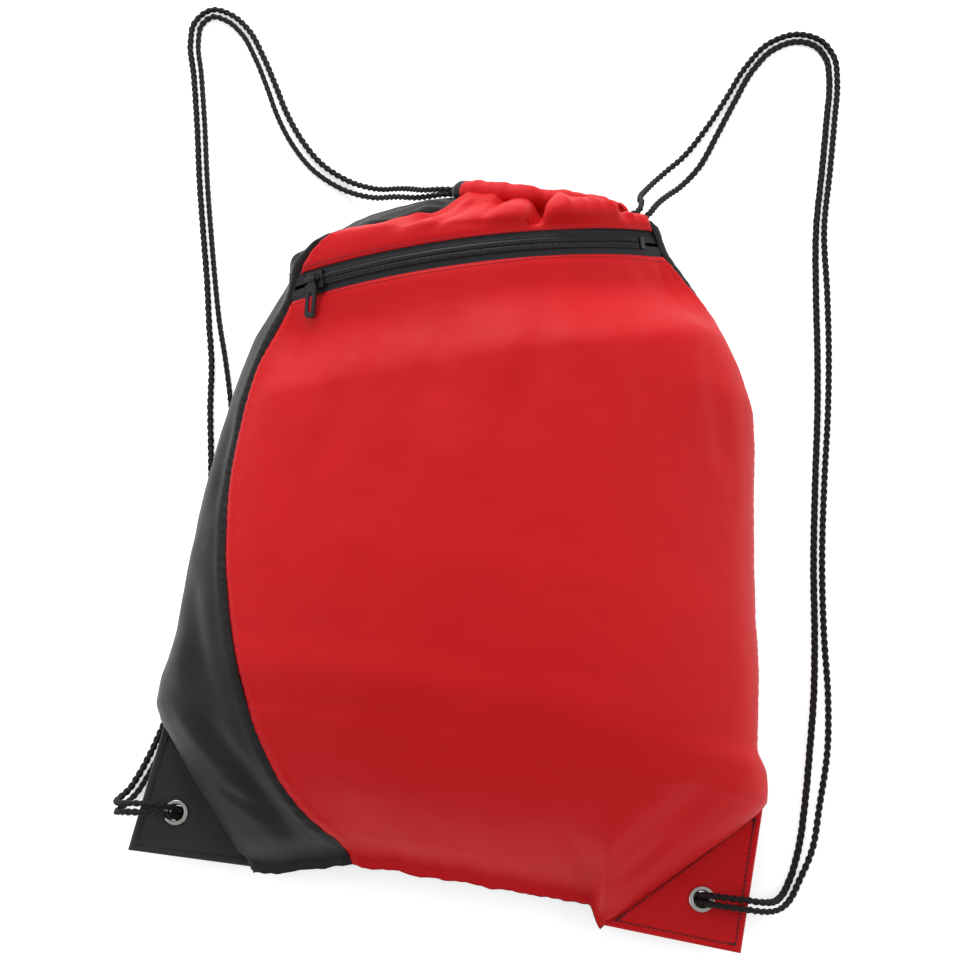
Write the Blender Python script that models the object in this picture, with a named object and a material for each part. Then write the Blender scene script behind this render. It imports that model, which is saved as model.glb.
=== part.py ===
import bpy
import bmesh
import numpy as np
from math import sin, cos, pi, radians, sqrt
from mathutils import Vector, Matrix

# every length below is in millimetres and is scaled once, when a mesh is made
mm = 0.001
gap = 0.3              # air between pieces that touch
cloth = 1.5            # wall of the nylon panels with their inner coating
patchCloth = 1.1       # one layer of corner reinforcement
cordDia = 3.8          # braided drawcord
restY = 200.0          # hem to the middle of the flat back, which is the origin

# corners: triangular ears past the stuffed body
earZ = 16.0            # middle of the ear, high enough for a knot underneath
earLeftIn, earLeftTop = (-101.0, 7.0), (-163.0, 74.0)
earRightIn, earRightTop = (97.0, 7.0), (165.0, 74.0)
earLeftTip, earRightTip = (-168.5, 3.5), (168.5, 3.0)
eyeLeft, eyeRight = (-146.0, 27.5), (144.5, 27.5)
eyeHole = 4.5          # radius of the hole two cords share
eyeBarrel = 5.1
eyeFlange = 7.0

# mouth ring, cinched
mouthY, mouthZ = 395.0, 56.0
mouthA, mouthB = 45.0, 24.0
hemPull = 12.0         # the hem rides up this far between the two corners
mouthLean = -0.30      # the ring leans: its front lip sits lower down the bag
casingIn = 4.7         # bore for two cords side by side
casingWall = 1.2
casingOut = casingIn + casingWall

# body stations: hem distance, left edge, right edge, edge height, hem sag,
# front rise, front roundness, back drop, back roundness, back fill
stations = np.array([
    (3,   0,    0,   16, 14, 2.0, .08, .00, .08, 1.00),
    (7,   0,    0,   16, 14, 2.0, .08, .00, .08, 1.00),
    (20,  0,    0,   16, 12, 24,  .50, .55, .60, 1.15),
    (36,  0,    0,   16, 9,  44,  .58, 1.0, .75, 1.30),
    (50,  0,    0,   16, 6,  58,  .62, 1.0, .80, 1.35),
    (74, -163,  165, 16, 2,  75,  .66, 1.0, .80, 1.35),
    (84, -167,  171, 17, 0,  81,  .68, 1.0, .80, 1.35),
    (96, -166,  169, 21, 0,  82,  .70, 1.0, .80, 1.35),
    (108, -162, 162, 27, 0,  80,  .72, 1.0, .80, 1.35),
    (125, -160, 160, 32, 0,  77,  .75, 1.0, .80, 1.35),
    (150, -160, 157, 36, 0,  76,  .78, 1.0, .80, 1.35),
    (180, -160, 152, 38, 0,  76,  .80, 1.0, .80, 1.35),
    (212, -158, 147, 38, 0,  77,  .82, 1.0, .80, 1.35),
    (256, -154, 141, 38, 0,  78,  .85, 1.0, .80, 1.35),
    (289, -149, 137, 40, 0,  76,  .86, 1.0, .80, 1.35),
    (303, -147, 131, 42, 0,  74,  .87, 1.0, .80, 1.35),
    (319, -141, 122, 45, 0,  70,  .88, 1.0, .80, 1.35),
    (345, -129, 104, 52, 0,  58,  .90, 1.0, .82, 1.30),
    (362, -112, 90,  57, 0,  45,  .93, .93, .88, 1.20),
    (376, -87,  74,  61, 0,  33,  .97, .68, .95, 1.08),
    # the lip meets the mouth ring's casings
    (mouthY - casingOut - gap, -(mouthA + cloth / 2), mouthA + cloth / 2, mouthZ, 0, mouthB + cloth / 2,
     1.0, (mouthB + cloth / 2 - 2.0) / (mouthZ - 2.0), 1.0, 1.0)], float)
hemY = stations[0, 0]
lipY = stations[-1, 0]

# curved seam between the two colours: hem distance and x on the front
seamLine = np.array([
    (3, -43), (11, -47), (31, -67), (53, -86), (92, -108), (135, -124), (174, -134), (209, -139),
    (238, -140), (264, -138), (290, -132), (311, -125), (334, -115), (352, -103), (365, -88),
    (373, -72), (381, -54), (lipY, -36)], float)

# zip: an arc through three points, its slider swings about the arc's own centre
zipStart, zipMiddle, zipEnd = (-117, 317, 88), (-24, 342, 110), (67, 375, 68)
bandHalf = 7.2         # half the window the tapes show in
bandFlat = 20.0        # below the zip the cloth keeps to its arc out to here, clear of the pull tab
tapeReach = 9.6        # tapes run on under the panels to here
tapeThick = 0.8
tapeIn = 1.0           # inner edge of a tape, from the middle
coilIn, coilOut = 0.8, 3.2
coilTop = 0.4          # coil stands this far over the panel skin
sliderHalf = 5.0       # half the slider's length
sliderSide = 4.8
plate = 1.1
barR = 0.65
barH = 4.3             # height of the slider's bar over the panel skin
tabLong, tabWide, tabThick = 21.0, 6.5, 1.1
tabTilt, tabYaw = 6.0, 18.0


def clearScene():
    for ob in list(bpy.data.objects):
        bpy.data.objects.remove(ob, do_unlink=True)


def smooth(x):
    x = np.clip(x, 0.0, 1.0)
    return x * x * (3 - 2 * x)


def curveThrough(xs, ys, x):
    # shape keeping cubic through the stations
    x = np.clip(x, xs[0], xs[-1])
    d = np.diff(ys) / np.diff(xs)
    m = np.zeros(len(xs))
    same = d[:-1] * d[1:] > 0
    m[1:-1][same] = 2 * d[:-1][same] * d[1:][same] / (d[:-1] + d[1:])[same]
    m[0], m[-1] = d[0], d[-1]
    k = np.clip(np.searchsorted(xs, x, side='right') - 1, 0, len(xs) - 2)
    w = xs[k + 1] - xs[k]
    u = (x - xs[k]) / w
    return (ys[k] * (1 + 2 * u) * (1 - u) ** 2 + m[k] * w * u * (1 - u) ** 2
            + ys[k + 1] * u * u * (3 - 2 * u) + m[k + 1] * w * u * u * (u - 1))


def column(i, v):
    return curveThrough(stations[:, 0], stations[:, i], v)


def onLine(a, b, y):
    return a[0] + (y - a[1]) * (b[0] - a[0]) / (b[1] - a[1])


def edges(v):
    k = stations[:, 0] >= 74
    left = curveThrough(stations[k, 0], stations[k, 1], v)
    right = curveThrough(stations[k, 0], stations[k, 2], v)
    left = np.where(v < 74, onLine(earLeftIn, earLeftTop, v), left)
    right = np.where(v < 74, onLine(earRightIn, earRightTop, v), right)
    return left, right


def arcOf(p, q, r):
    p, q, r = (np.array(a, float) for a in (p, q, r))
    n = np.cross(r - p, q - p)
    n /= np.linalg.norm(n)
    if n[1] < 0:
        n = -n
    rows = np.array([q - p, r - p, n])
    rhs = np.array([(q - p) @ (q + p) / 2, (r - p) @ (r + p) / 2, n @ p])
    c = np.linalg.solve(rows, rhs)
    return c, n, np.linalg.norm(p - c)


arcC, arcA, arcR = arcOf(zipStart, zipMiddle, zipEnd)
arcUp = (np.array(zipMiddle, float) - arcC) / arcR
arcSide = np.cross(arcA, arcUp)      # the way along the zip, left to right


def arcAngle(p):
    d = np.asarray(p, float) - arcC
    return np.arctan2(d @ arcSide, d @ arcUp)


arcStart, arcEnd = arcAngle(zipStart), arcAngle(zipEnd)


def arcPoint(angle, h, lift):
    d = np.sin(angle) * arcSide + np.cos(angle) * arcUp
    return arcC + arcA * h + d * (arcR + lift)


def towardBand(p):
    # near the zip the cloth is pulled onto the band's cylinder
    d = p - arcC
    h = d @ arcA
    q = d - h[..., None] * arcA
    r = np.linalg.norm(q, axis=-1)
    ang = np.arctan2(q @ arcSide, q @ arcUp)
    far = np.maximum(arcStart - ang, ang - arcEnd) * arcR
    w = 1 - smooth((np.abs(h) - np.where(h < 0, bandFlat, 14.0)) / 42)
    w = w * (1 - smooth((far - 4) / 24))
    w = w * (1 - smooth((np.where(r > arcR, r - arcR - 12, arcR - r) - 14) / 12))
    return p + (q / r[..., None]) * ((arcR - r) * w)[..., None]


def skin(t, v):
    t, v = np.broadcast_arrays(np.asarray(t, float), np.asarray(v, float))
    left, right = edges(v)
    mid, half = (left + right) / 2, (right - left) / 2
    c, s = np.cos(t), np.sin(t)
    rim = column(3, v) + column(4, v) * (1 - c * c)
    up = column(5, v) * np.abs(s) ** column(6, v)
    deep = 2.0 + (rim - 2.0) * column(7, v)
    down = deep * np.minimum(1, column(9, v) * np.abs(s) ** column(8, v))
    # the two big gathers at the front lip
    fold = np.exp(-((mid + half * c - 1) / 6.0) ** 2) * smooth((v - 366) / 10) * (1 - smooth((v - 380) / 7)) * 4.0
    z = np.where(s >= 0, rim + up - fold * smooth(s / 0.4), rim - down)
    lean = mouthLean * smooth((v - 335) / 50)
    x = mid + half * c
    # the hem is drawn up between the corners
    pull = hemPull * smooth((x + 96) / 60) * smooth((earRightIn[0] - 3 - x) / 9) * (1 - smooth((v - 3) / 70))
    p = np.stack([x, v + pull + lean * (z - mouthZ), z], -1)
    return towardBand(p)


def outward(t, v):
    dt, dv = 0.10, 2.0
    a = skin(t + dt, v) - skin(t - dt, v)
    b = skin(t, np.minimum(v + dv, lipY)) - skin(t, np.maximum(v - dv, hemY))
    n = np.cross(b, a)
    n /= np.linalg.norm(n, axis=-1)[..., None]
    return n


def seamAngle(v):
    left, right = edges(v)
    x = curveThrough(seamLine[:, 0], seamLine[:, 1], v)
    c = (x - (left + right) / 2) / ((right - left) / 2)
    return np.arccos(np.clip(c, -1, 1))


def stepFor(t, v, length):
    a = skin(t + 0.004, v) - skin(t - 0.004, v)
    return length / (np.linalg.norm(a, axis=-1) / 0.008)


def solveBand(tOf, h):
    lo, hi = 250.0, lipY
    for _ in range(40):
        v = (lo + hi) / 2
        p = skin(tOf(v), v)
        if (p - arcC) @ arcA < h:
            lo = v
        else:
            hi = v
    return (lo + hi) / 2


nearHem = [3, 7, 11, 16, 24, 36, 50, 64, 76, 86, 97, 110]
midRows, windowRows, topRows = 11, 2, 6


def rowList(low, high):
    a = list(np.linspace(nearHem[-1], low, midRows + 1))[1:]
    b = list(np.linspace(low, high, windowRows + 1))[1:]
    c = list(np.linspace(high, lipY, topRows + 1))[1:]
    return np.array(nearHem + a + b + c, float)


lowCount = len(nearHem) + midRows          # rows in the pocket panel
highStart = lowCount + windowRows - 1      # first row of the upper panel


def rightEdge(v):
    t = stepFor(0.02, v, gap / 2)
    return np.maximum(t, 0.0004)


def seamEdge(v, side):
    # the gap is measured square to the seam, which runs at a slant to the rows
    t = seamAngle(v)
    a, b = np.minimum(v + 1.5, lipY), np.maximum(v - 1.5, hemY)
    run = skin(seamAngle(a), a) - skin(seamAngle(b), b)
    row = skin(t + 0.01, v) - skin(t - 0.01, v)
    run, row = run / np.linalg.norm(run), row / np.linalg.norm(row)
    slant = max(np.linalg.norm(np.cross(run, row)), 0.2)
    return t + side * stepFor(t, v, gap * 0.75 / slant)


def frontT(s, v):
    a, b = rightEdge(v), seamEdge(v, -1)
    return a + (b - a) * s


def linkToCollection(ob, coll):
    for c in list(ob.users_collection):
        c.objects.unlink(ob)
    coll.objects.link(ob)


def material(name, colour, rough, metal=0.0):
    m = bpy.data.materials.new(name)
    m.use_nodes = True
    b = m.node_tree.nodes['Principled BSDF']
    b.inputs['Base Color'].default_value = (*colour, 1)
    b.inputs['Roughness'].default_value = rough
    b.inputs['Metallic'].default_value = metal
    return m


def finish(bm, name, mat, toOrigin=True):
    bmesh.ops.recalc_face_normals(bm, faces=bm.faces)
    if bm.calc_volume(signed=True) < 0:
        bmesh.ops.reverse_faces(bm, faces=bm.faces)
    me = bpy.data.meshes.new(name)
    if toOrigin:
        for v in bm.verts:
            v.co = Vector((v.co.x, v.co.y - restY, v.co.z)) * mm
    bm.to_mesh(me)
    bm.free()
    ob = bpy.data.objects.new(name, me)
    parts.objects.link(ob)
    me.materials.append(mat)
    return ob


def slab(columns, rows, outer, inner):
    # a sheet of grid cells with two skins, moved to where the two functions say
    bm = bmesh.new()
    bmesh.ops.create_grid(bm, x_segments=columns, y_segments=rows, size=0.5)
    bmesh.ops.solidify(bm, geom=bm.faces[:], thickness=0.1)
    zs = [v.co.z for v in bm.verts]
    cut = (min(zs) + max(zs)) / 2
    for v in bm.verts:
        i, j = round((v.co.x + 0.5) * columns), round((v.co.y + 0.5) * rows)
        v.co = Vector(outer[i, j] if v.co.z > cut else inner[i, j])
    return bm


def panel(name, mat, tGrid, vGrid, depth=0.0, thick=cloth):
    outer = skin(tGrid, vGrid)
    n = outward(tGrid, vGrid)
    top = outer - n * np.asarray(depth)[..., None]
    low = top - n * thick
    return finish(slab(tGrid.shape[0] - 1, tGrid.shape[1] - 1, top, low), name, mat)


def build():
    frontCols, insertCols, backCols = 20, 9, 22
    ss = np.linspace(0, 1, frontCols + 1)
    lows, highs = [], []
    for s in ss:
        lows.append(solveBand(lambda v: frontT(s, v), -bandHalf))
        highs.append(solveBand(lambda v: frontT(s, v), bandHalf))
    table = np.array([rowList(a, b) for a, b in zip(lows, highs)])
    leftRows, rightRows = table[-1], table[0]

    v = table[:, :lowCount]
    t = np.array([[frontT(s, x) for x in row] for s, row in zip(ss, v)])
    panel('pocket_panel', red, t, v)
    v = table[:, highStart:]
    t = np.array([[frontT(s, x) for x in row] for s, row in zip(ss, v)])
    panel('upper_panel', red, t, v)

    f = np.linspace(0, 1, insertCols + 1)[:, None]
    v = np.repeat(leftRows[None, :], insertCols + 1, 0)
    a = np.array([seamEdge(x, 1) for x in leftRows])[None, :]
    b = np.array([pi - rightEdge(x) for x in leftRows])[None, :]
    panel('side_insert', charcoal, a + (b - a) * f, v)

    f = np.linspace(0, 1, backCols + 1)[:, None]
    v = leftRows[None, :] * (1 - f) + rightRows[None, :] * f
    e = np.array([[rightEdge(x) for x in row] for row in v])
    a, b = pi + e, 2 * pi - e
    panel('back_panel', charcoal, a + (b - a) * f, v)

    # pocket lining: under the front, dipping away from the zip's slider
    vs = []
    for s, row in zip(ss[1:-1], table[1:-1]):
        end = solveBand(lambda x: frontT(s, x), 13.0)
        vs.append(np.concatenate([row[3:lowCount], np.linspace(row[lowCount - 1], end, 5)[1:]]))
    v = np.array(vs)
    t = np.array([[frontT(s, x) for x in row] for s, row in zip(ss[1:-1], v)])
    h = (skin(t, v) - arcC) @ arcA
    dip = smooth((h + 42) / 25) * (1 - smooth((h - 9) / 6))
    panel('pocket_lining', charcoal, t, v, depth=cloth + gap + 0.35 + 4.8 * dip, thick=0.8)


def tubeMesh(name, pts, radius, mat, wall=None, res=2, cyclic=False):
    cu = bpy.data.curves.new(name, 'CURVE')
    cu.dimensions = '3D'
    sp = cu.splines.new('POLY')
    sp.points.add(len(pts) - 1)
    for q, p in zip(sp.points, pts):
        q.co = (p[0] * mm, (p[1] - restY) * mm, p[2] * mm, 1)
    cu.bevel_depth = radius * mm
    cu.bevel_resolution = res
    cu.use_fill_caps = wall is None
    cu.twist_mode = 'MINIMUM'
    ob = bpy.data.objects.new(name + '_curve', cu)
    bpy.context.scene.collection.objects.link(ob)
    dg = bpy.context.evaluated_depsgraph_get()
    me = bpy.data.meshes.new_from_object(ob.evaluated_get(dg))
    bpy.data.objects.remove(ob, do_unlink=True)
    bm = bmesh.new()
    bm.from_mesh(me)
    bpy.data.meshes.remove(me)
    bmesh.ops.remove_doubles(bm, verts=bm.verts, dist=0.00001)
    bmesh.ops.recalc_face_normals(bm, faces=bm.faces)
    if wall:
        bmesh.ops.solidify(bm, geom=bm.faces[:], thickness=wall * mm)
    return finish(bm, name, mat, toOrigin=False)


def spline(ctrl, step):
    # even steps along a smooth line through the control rows
    c = np.asarray(ctrl, float)
    pts = []
    for i in range(len(c) - 1):
        a, b = c[max(i - 1, 0)], c[min(i + 2, len(c) - 1)]
        p, q = c[i], c[i + 1]
        w = np.linalg.norm((q - p)[:3])
        wa = max(np.linalg.norm((p - a)[:3]), 1e-6)
        wb = max(np.linalg.norm((b - q)[:3]), 1e-6)
        m0 = ((q - p) / w * wa + (p - a) / wa * w) / (wa + w) if i > 0 else (q - p) / w
        m1 = ((b - q) / wb * w + (q - p) / w * wb) / (wb + w) if i < len(c) - 2 else (q - p) / w
        for u in np.linspace(0, 1, 13)[:-1]:
            pts.append(p * (1 + 2 * u) * (1 - u) ** 2 + m0 * w * u * (1 - u) ** 2
                       + q * u * u * (3 - 2 * u) + m1 * w * u * u * (u - 1))
    pts.append(c[-1])
    pts = np.array(pts)
    # a new point after each full step, or sooner where the line turns
    keep, last = [0], 0
    for i in range(1, len(pts) - 1):
        far = np.linalg.norm(pts[i, :3] - pts[last, :3])
        a, b = pts[i, :3] - pts[last, :3], pts[i + 1, :3] - pts[i, :3]
        turn = np.degrees(np.arccos(np.clip(a @ b / np.linalg.norm(a) / np.linalg.norm(b), -1, 1)))
        if far >= step or (turn > 13 and far > step * 0.17):
            keep.append(i)
            last = i
    if np.linalg.norm(pts[keep[-1], :3] - pts[-1, :3]) < step * 0.25:
        keep.pop()
    keep.append(len(pts) - 1)
    return pts[keep]


def mouthPoint(angle, side=0.0, out=0.0):
    c, s = cos(angle), sin(angle)
    n = np.array([0, 1, -mouthLean]) / sqrt(1 + mouthLean ** 2)
    p = np.array([(mouthA + out) * c, mouthY + mouthLean * (mouthB + out) * s, mouthZ + (mouthB + out) * s])
    return p + n * side


# routes of the two doubled cords: x, hem distance, height, half the spread of the pair
floorZ = cordDia / 2 + 0.1
leftRoute = [
    (-57, 397, 52, 3.2), (-70, 399, 41, 2.6), (-86, 404, 26, 2.6), (-104, 408, 11, 3.0),
    (-123, 414, 3, 3.2), (-143, 424, floorZ, 3.2), (-159, 439, floorZ, 3.2), (-171, 455, floorZ, 3.0),
    (-182, 474, floorZ, 2.7), (-193, 492, floorZ, 2.5), (-206, 509, floorZ, 2.5), (-218, 517, floorZ, 2.5),
    (-229, 518.5, floorZ, 2.5), (-236, 511, floorZ, 2.5), (-236, 497, floorZ, 2.5), (-230, 477, floorZ, 2.4),
    (-221, 444, floorZ, 2.4), (-211, 404, floorZ, 2.4), (-201, 368, floorZ, 2.4), (-193, 340, floorZ, 2.5),
    (-186, 315, floorZ, 3.2), (-179, 293, floorZ, 4.2), (-172, 265, floorZ, 6.2), (-165, 235, floorZ, 6.6),
    (-160, 200, floorZ, 4.6), (-157, 165, floorZ, 3.0), (-157, 130, floorZ, 2.4), (-161, 95, floorZ, 2.4),
    (-166, 68, floorZ, 2.4), (-171.5, 48, floorZ, 2.4), (-176, 36, 3.2, 2.4), (-179.5, 29, 8.5, 2.4),
    (-179.5, 25.5, 16, 2.4), (-174, 25.5, 22.5, 2.4), (-165, 26.5, 25, 2.4), (-156, 27.3, 25.3, 2.3),
    (-149.8, 27.5, 23.6, 2.2), (-146.5, 27.5, 19.6, 2.1), (-146, 27.5, 16, 2.1), (-146, 27.5, 13.3, 2.1)]
rightRoute = [
    (50, 393.2, 56, 4.2), (55, 395.2, 55, 4.2), (59, 403, 47, 4.4), (61, 415, 34, 5.2),
    (66, 429, 19, 6.0), (73, 442, 8.5, 6.6),
    (82, 457, 3, 5.8), (92, 480, floorZ, 3.8), (100, 501, floorZ, 2.8), (109, 524, floorZ, 2.4),
    (120, 540, floorZ, 2.5), (136, 548, floorZ, 2.5), (148, 546, floorZ, 2.5), (157, 536, floorZ, 2.5),
    (160, 523, floorZ, 2.4), (161.5, 495, floorZ, 2.4), (162.5, 464, floorZ, 2.4), (163.5, 424, floorZ, 2.4),
    (169, 384, floorZ, 3.3), (174, 348, floorZ, 3.3), (178, 311, floorZ, 3.0), (181, 271, floorZ, 2.6),
    (186, 218, floorZ, 2.4), (191, 182, floorZ, 2.6), (196, 146, floorZ, 4.0), (198, 118, floorZ, 4.8),
    (198, 88, floorZ, 4.0), (197, 63, floorZ, 3.6), (193.5, 47, floorZ, 2.5), (190, 37, 5, 2.4),
    (185, 31, 12, 2.4), (177, 28.5, 20, 2.4), (167, 28, 24.5, 2.4), (156, 27.6, 25.3, 2.3),
    (148.6, 27.5, 23.6, 2.2), (145, 27.5, 19.6, 2.1), (144.5, 27.5, 16, 2.1), (144.5, 27.5, 13.3, 2.1)]


def strands(route, hand):
    # the pair spreads sideways from its middle line, stacked where it leaves the mouth
    line = spline(route, 1.5)
    p, g = line[:, :3], line[:, 3]
    d = np.gradient(p, axis=0)
    d /= np.linalg.norm(d, axis=1)[:, None]
    far = np.concatenate([[0], np.cumsum(np.linalg.norm(np.diff(p, axis=0), axis=1))])
    side = np.stack([d[:, 1], -d[:, 0], np.zeros(len(d))], 1) * hand
    side /= np.maximum(np.linalg.norm(side, axis=1), 1e-6)[:, None]
    a = 1 - smooth(far / 55)
    b = smooth((far - (far[-1] - 62)) / 22)
    way = side * ((1 - a) * (1 - b))[:, None] + np.array([0, 0, 1]) * a[:, None]
    way = way + np.array([0, 1.0, 0]) * hand * b[:, None]
    way = way - d * np.sum(way * d, axis=1)[:, None]
    way /= np.linalg.norm(way, axis=1)[:, None]
    return p + way * g[:, None], p - way * g[:, None]


def cords():
    step = cordDia * 3.2
    for name, route, hand, start in (('left', leftRoute, 1, pi), ('right', rightRoute, -1, 0.0)):
        one, two = strands(route, hand)
        side = (cordDia / 2 + gap / 2 + 0.1) * hand
        turn = -1 if name == 'left' else 1
        # the first strand runs the front casing, the second the back one and round the far end
        inA = [mouthPoint(start + turn * radians(k), side) for k in (142, 120, 100, 80, 60, 42, 30, 22)]
        inB = [mouthPoint(start - turn * radians(k), side) for k in
               (214, 200, 186, 170, 150, 130, 110, 90, 70, 50, 34, 22)]
        a = spline(np.concatenate([np.array(inA), one[:-1:4], one[-1:]]), step)
        b = spline(np.concatenate([np.array(inB), two[:-1:4], two[-1:]]), step)
        tubeMesh('cord_%s_a' % name, a, cordDia / 2, cordMat)
        tubeMesh('cord_%s_b' % name, b, cordDia / 2, cordMat)
        print('cord', name, len(a), len(b))


def casings():
    for name, k, mat in (('front_casing', 1, red), ('back_casing', -1, charcoal)):
        pts = [mouthPoint(k * radians(x)) for x in np.linspace(24, 156, 19)]
        tubeMesh(name, pts, casingOut, mat, wall=casingWall, res=4)


def flatShape(name, loops, z, thick, mat):
    cu = bpy.data.curves.new(name, 'CURVE')
    cu.dimensions = '2D'
    cu.fill_mode = 'BOTH'
    for loop in loops:
        sp = cu.splines.new('POLY')
        sp.points.add(len(loop) - 1)
        for q, p in zip(sp.points, loop):
            q.co = (p[0] * mm, (p[1] - restY) * mm, 0, 1)
        sp.use_cyclic_u = True
    cu.extrude = thick / 2 * mm
    ob = bpy.data.objects.new(name + '_curve', cu)
    bpy.context.scene.collection.objects.link(ob)
    dg = bpy.context.evaluated_depsgraph_get()
    me = bpy.data.meshes.new_from_object(ob.evaluated_get(dg))
    bpy.data.objects.remove(ob, do_unlink=True)
    bm = bmesh.new()
    bm.from_mesh(me)
    bpy.data.meshes.remove(me)
    bmesh.ops.remove_doubles(bm, verts=bm.verts, dist=0.00001)
    bmesh.ops.translate(bm, verts=bm.verts, vec=(0, 0, z * mm))
    return finish(bm, name, mat, toOrigin=False)


def roundCorners(pts, radius, n=4):
    out = []
    for i, p in enumerate(pts):
        p = np.array(p, float)
        a, b = np.array(pts[i - 1], float) - p, np.array(pts[(i + 1) % len(pts)], float) - p
        a /= np.linalg.norm(a)
        b /= np.linalg.norm(b)
        half = np.arccos(np.clip(a @ b, -1, 1)) / 2
        reach = radius / np.tan(half)
        s, e = p + a * reach, p + b * reach
        for u in np.linspace(0, 1, n + 1):
            out.append(tuple(s * (1 - u) ** 2 + 2 * p * u * (1 - u) + e * u * u))
    return out


def circle(c, r, n=24):
    return [(c[0] + r * cos(2 * pi * k / n), c[1] + r * sin(2 * pi * k / n)) for k in range(n)]


def turned(name, profile, at, mat, steps=28):
    me = bpy.data.meshes.new(name)
    bm = bmesh.new()
    vs = [bm.verts.new((r * mm, 0, z * mm)) for r, z in profile]
    for i in range(len(vs)):
        bm.edges.new((vs[i], vs[(i + 1) % len(vs)]))
    bmesh.ops.spin(bm, geom=bm.verts[:] + bm.edges[:], cent=(0, 0, 0), axis=(0, 0, 1),
                   angle=2 * pi, steps=steps, use_merge=True)
    bmesh.ops.remove_doubles(bm, verts=bm.verts, dist=0.00001)
    bmesh.ops.translate(bm, verts=bm.verts, vec=(at[0] * mm, (at[1] - restY) * mm, at[2] * mm))
    bpy.data.meshes.remove(me)
    return finish(bm, name, mat, toOrigin=False)


def corners():
    half = patchCloth / 2 + gap / 2
    for side, a, b, tip, eye, mat in (
            ('left', earLeftIn, earLeftTop, earLeftTip, eyeLeft, charcoal),
            ('right', earRightIn, earRightTop, earRightTip, eyeRight, red)):
        sign = -1 if side == 'left' else 1
        along = np.array(b, float) - np.array(a, float)
        along /= np.linalg.norm(along)
        out = np.array([along[1], -along[0]]) * (1 if side == 'right' else -1)
        p = np.array(a, float) - along * 3.5 + out * (gap + 0.25)
        q = np.array(b, float) + along * 1.0 + out * (gap + 0.25)
        loop = [tuple(p), tip, tuple(q)]
        if side == 'left':
            loop.reverse()
        loop = roundCorners(loop, 1.6)
        hole = circle(eye, eyeBarrel + gap)
        flatShape('patch_%s_front' % side, [loop, hole], earZ + half, patchCloth, mat)
        back = charcoal
        flatShape('patch_%s_back' % side, [loop, hole], earZ - half, patchCloth, back)
        top = half + patchCloth / 2 + gap
        low = -top
        turned('eyelet_%s' % side, [
            (eyeHole, top + 0.5), (eyeHole + 0.35, top + 0.9), (eyeFlange - 0.9, top + 0.95),
            (eyeFlange, top + 0.35), (eyeFlange, top), (eyeBarrel, top), (eyeBarrel, low - 0.8 - gap),
            (eyeBarrel + 0.9, low - 0.8 - gap), (eyeBarrel + 0.9, low - 1.7), (eyeHole + 0.3, low - 1.75),
            (eyeHole, low - 1.4)], (eye[0], eye[1], earZ), nickel)
        turned('washer_%s' % side, [
            (eyeBarrel + gap, low), (eyeFlange, low), (eyeFlange, low - 0.8), (eyeBarrel + gap, low - 0.8)],
            (eye[0], eye[1], earZ), nickel)
        bm = bmesh.new()
        bmesh.ops.create_uvsphere(bm, u_segments=16, v_segments=10, radius=1)
        knotTop = earZ + low - 1.75 - gap
        r = (knotTop - 0.4) / 2
        bmesh.ops.scale(bm, verts=bm.verts, vec=(6.6, 6.2, r))
        bmesh.ops.translate(bm, verts=bm.verts, vec=(eye[0], eye[1], 0.4 + r))
        finish(bm, 'knot_%s' % side, cordMat)


def arcBar(name, mat, section, a, b, segments):
    # section: closed loop of (across, lift); swept about the arc's centre
    angles = np.linspace(a, b, segments + 1)
    bm = bmesh.new()
    first = [bm.verts.new(Vector(arcPoint(angles[0], h, l))) for h, l in section]
    face = bm.faces.new(first)
    axis = Vector(arcA)
    bmesh.ops.spin(bm, geom=[face] + list(face.edges) + list(face.verts), cent=Vector(arcC), axis=axis,
                   angle=angles[-1] - angles[0], steps=segments, use_duplicate=False)
    return finish(bm, name, mat)


def zipper():
    under = -cloth - gap
    ends = 3.5 / arcR
    lo, hi = arcStart - ends, arcEnd + 1.0 / arcR
    for name, k in (('upper', 1), ('lower', -1)):
        arcBar('zip_tape_' + name, tapeMat, [
            (k * tapeIn, under), (k * tapeReach, under), (k * tapeReach, under - tapeThick),
            (k * tapeIn, under - tapeThick)], lo, hi, 40)
        base = under + gap
        arcBar('zip_coil_' + name, coilMat, [
            (k * coilIn, base), (k * coilOut, base), (k * coilOut, coilTop - 0.6),
            (k * (coilOut - 0.6), coilTop), (k * (coilIn + 0.5), coilTop), (k * coilIn, coilTop - 0.5)],
            coilLo, coilHi, 40)
        arcBar('zip_stop_' + name, coilMat, [
            (k * coilIn, base), (k * coilOut, base), (k * coilOut, coilTop),
            (k * coilIn, coilTop)], coilLo - (gap + 2.2) / arcR, coilLo - gap / arcR, 2)
    arcBar('zip_stop_end', coilMat, [
        (-coilOut, base), (coilOut, base), (coilOut, coilTop), (-coilOut, coilTop)],
        coilHi + gap / arcR, coilHi + (gap + 3.0) / arcR, 2)


coilLo = arcStart + 3.2 / arcR
coilHi = arcEnd - 8.0 / arcR
sliderAt = coilLo + (sliderHalf + 0.4) / arcR


def arcFrame(angle):
    d = np.sin(angle) * arcSide + np.cos(angle) * arcUp
    t = np.cos(angle) * arcSide - np.sin(angle) * arcUp
    o = (arcC + d * arcR - np.array([0, restY, 0])) * mm
    m = Matrix.Identity(4)
    for k in range(3):
        m[k][0], m[k][1], m[k][2], m[k][3] = t[k], arcA[k], d[k], o[k]
    return m


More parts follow.
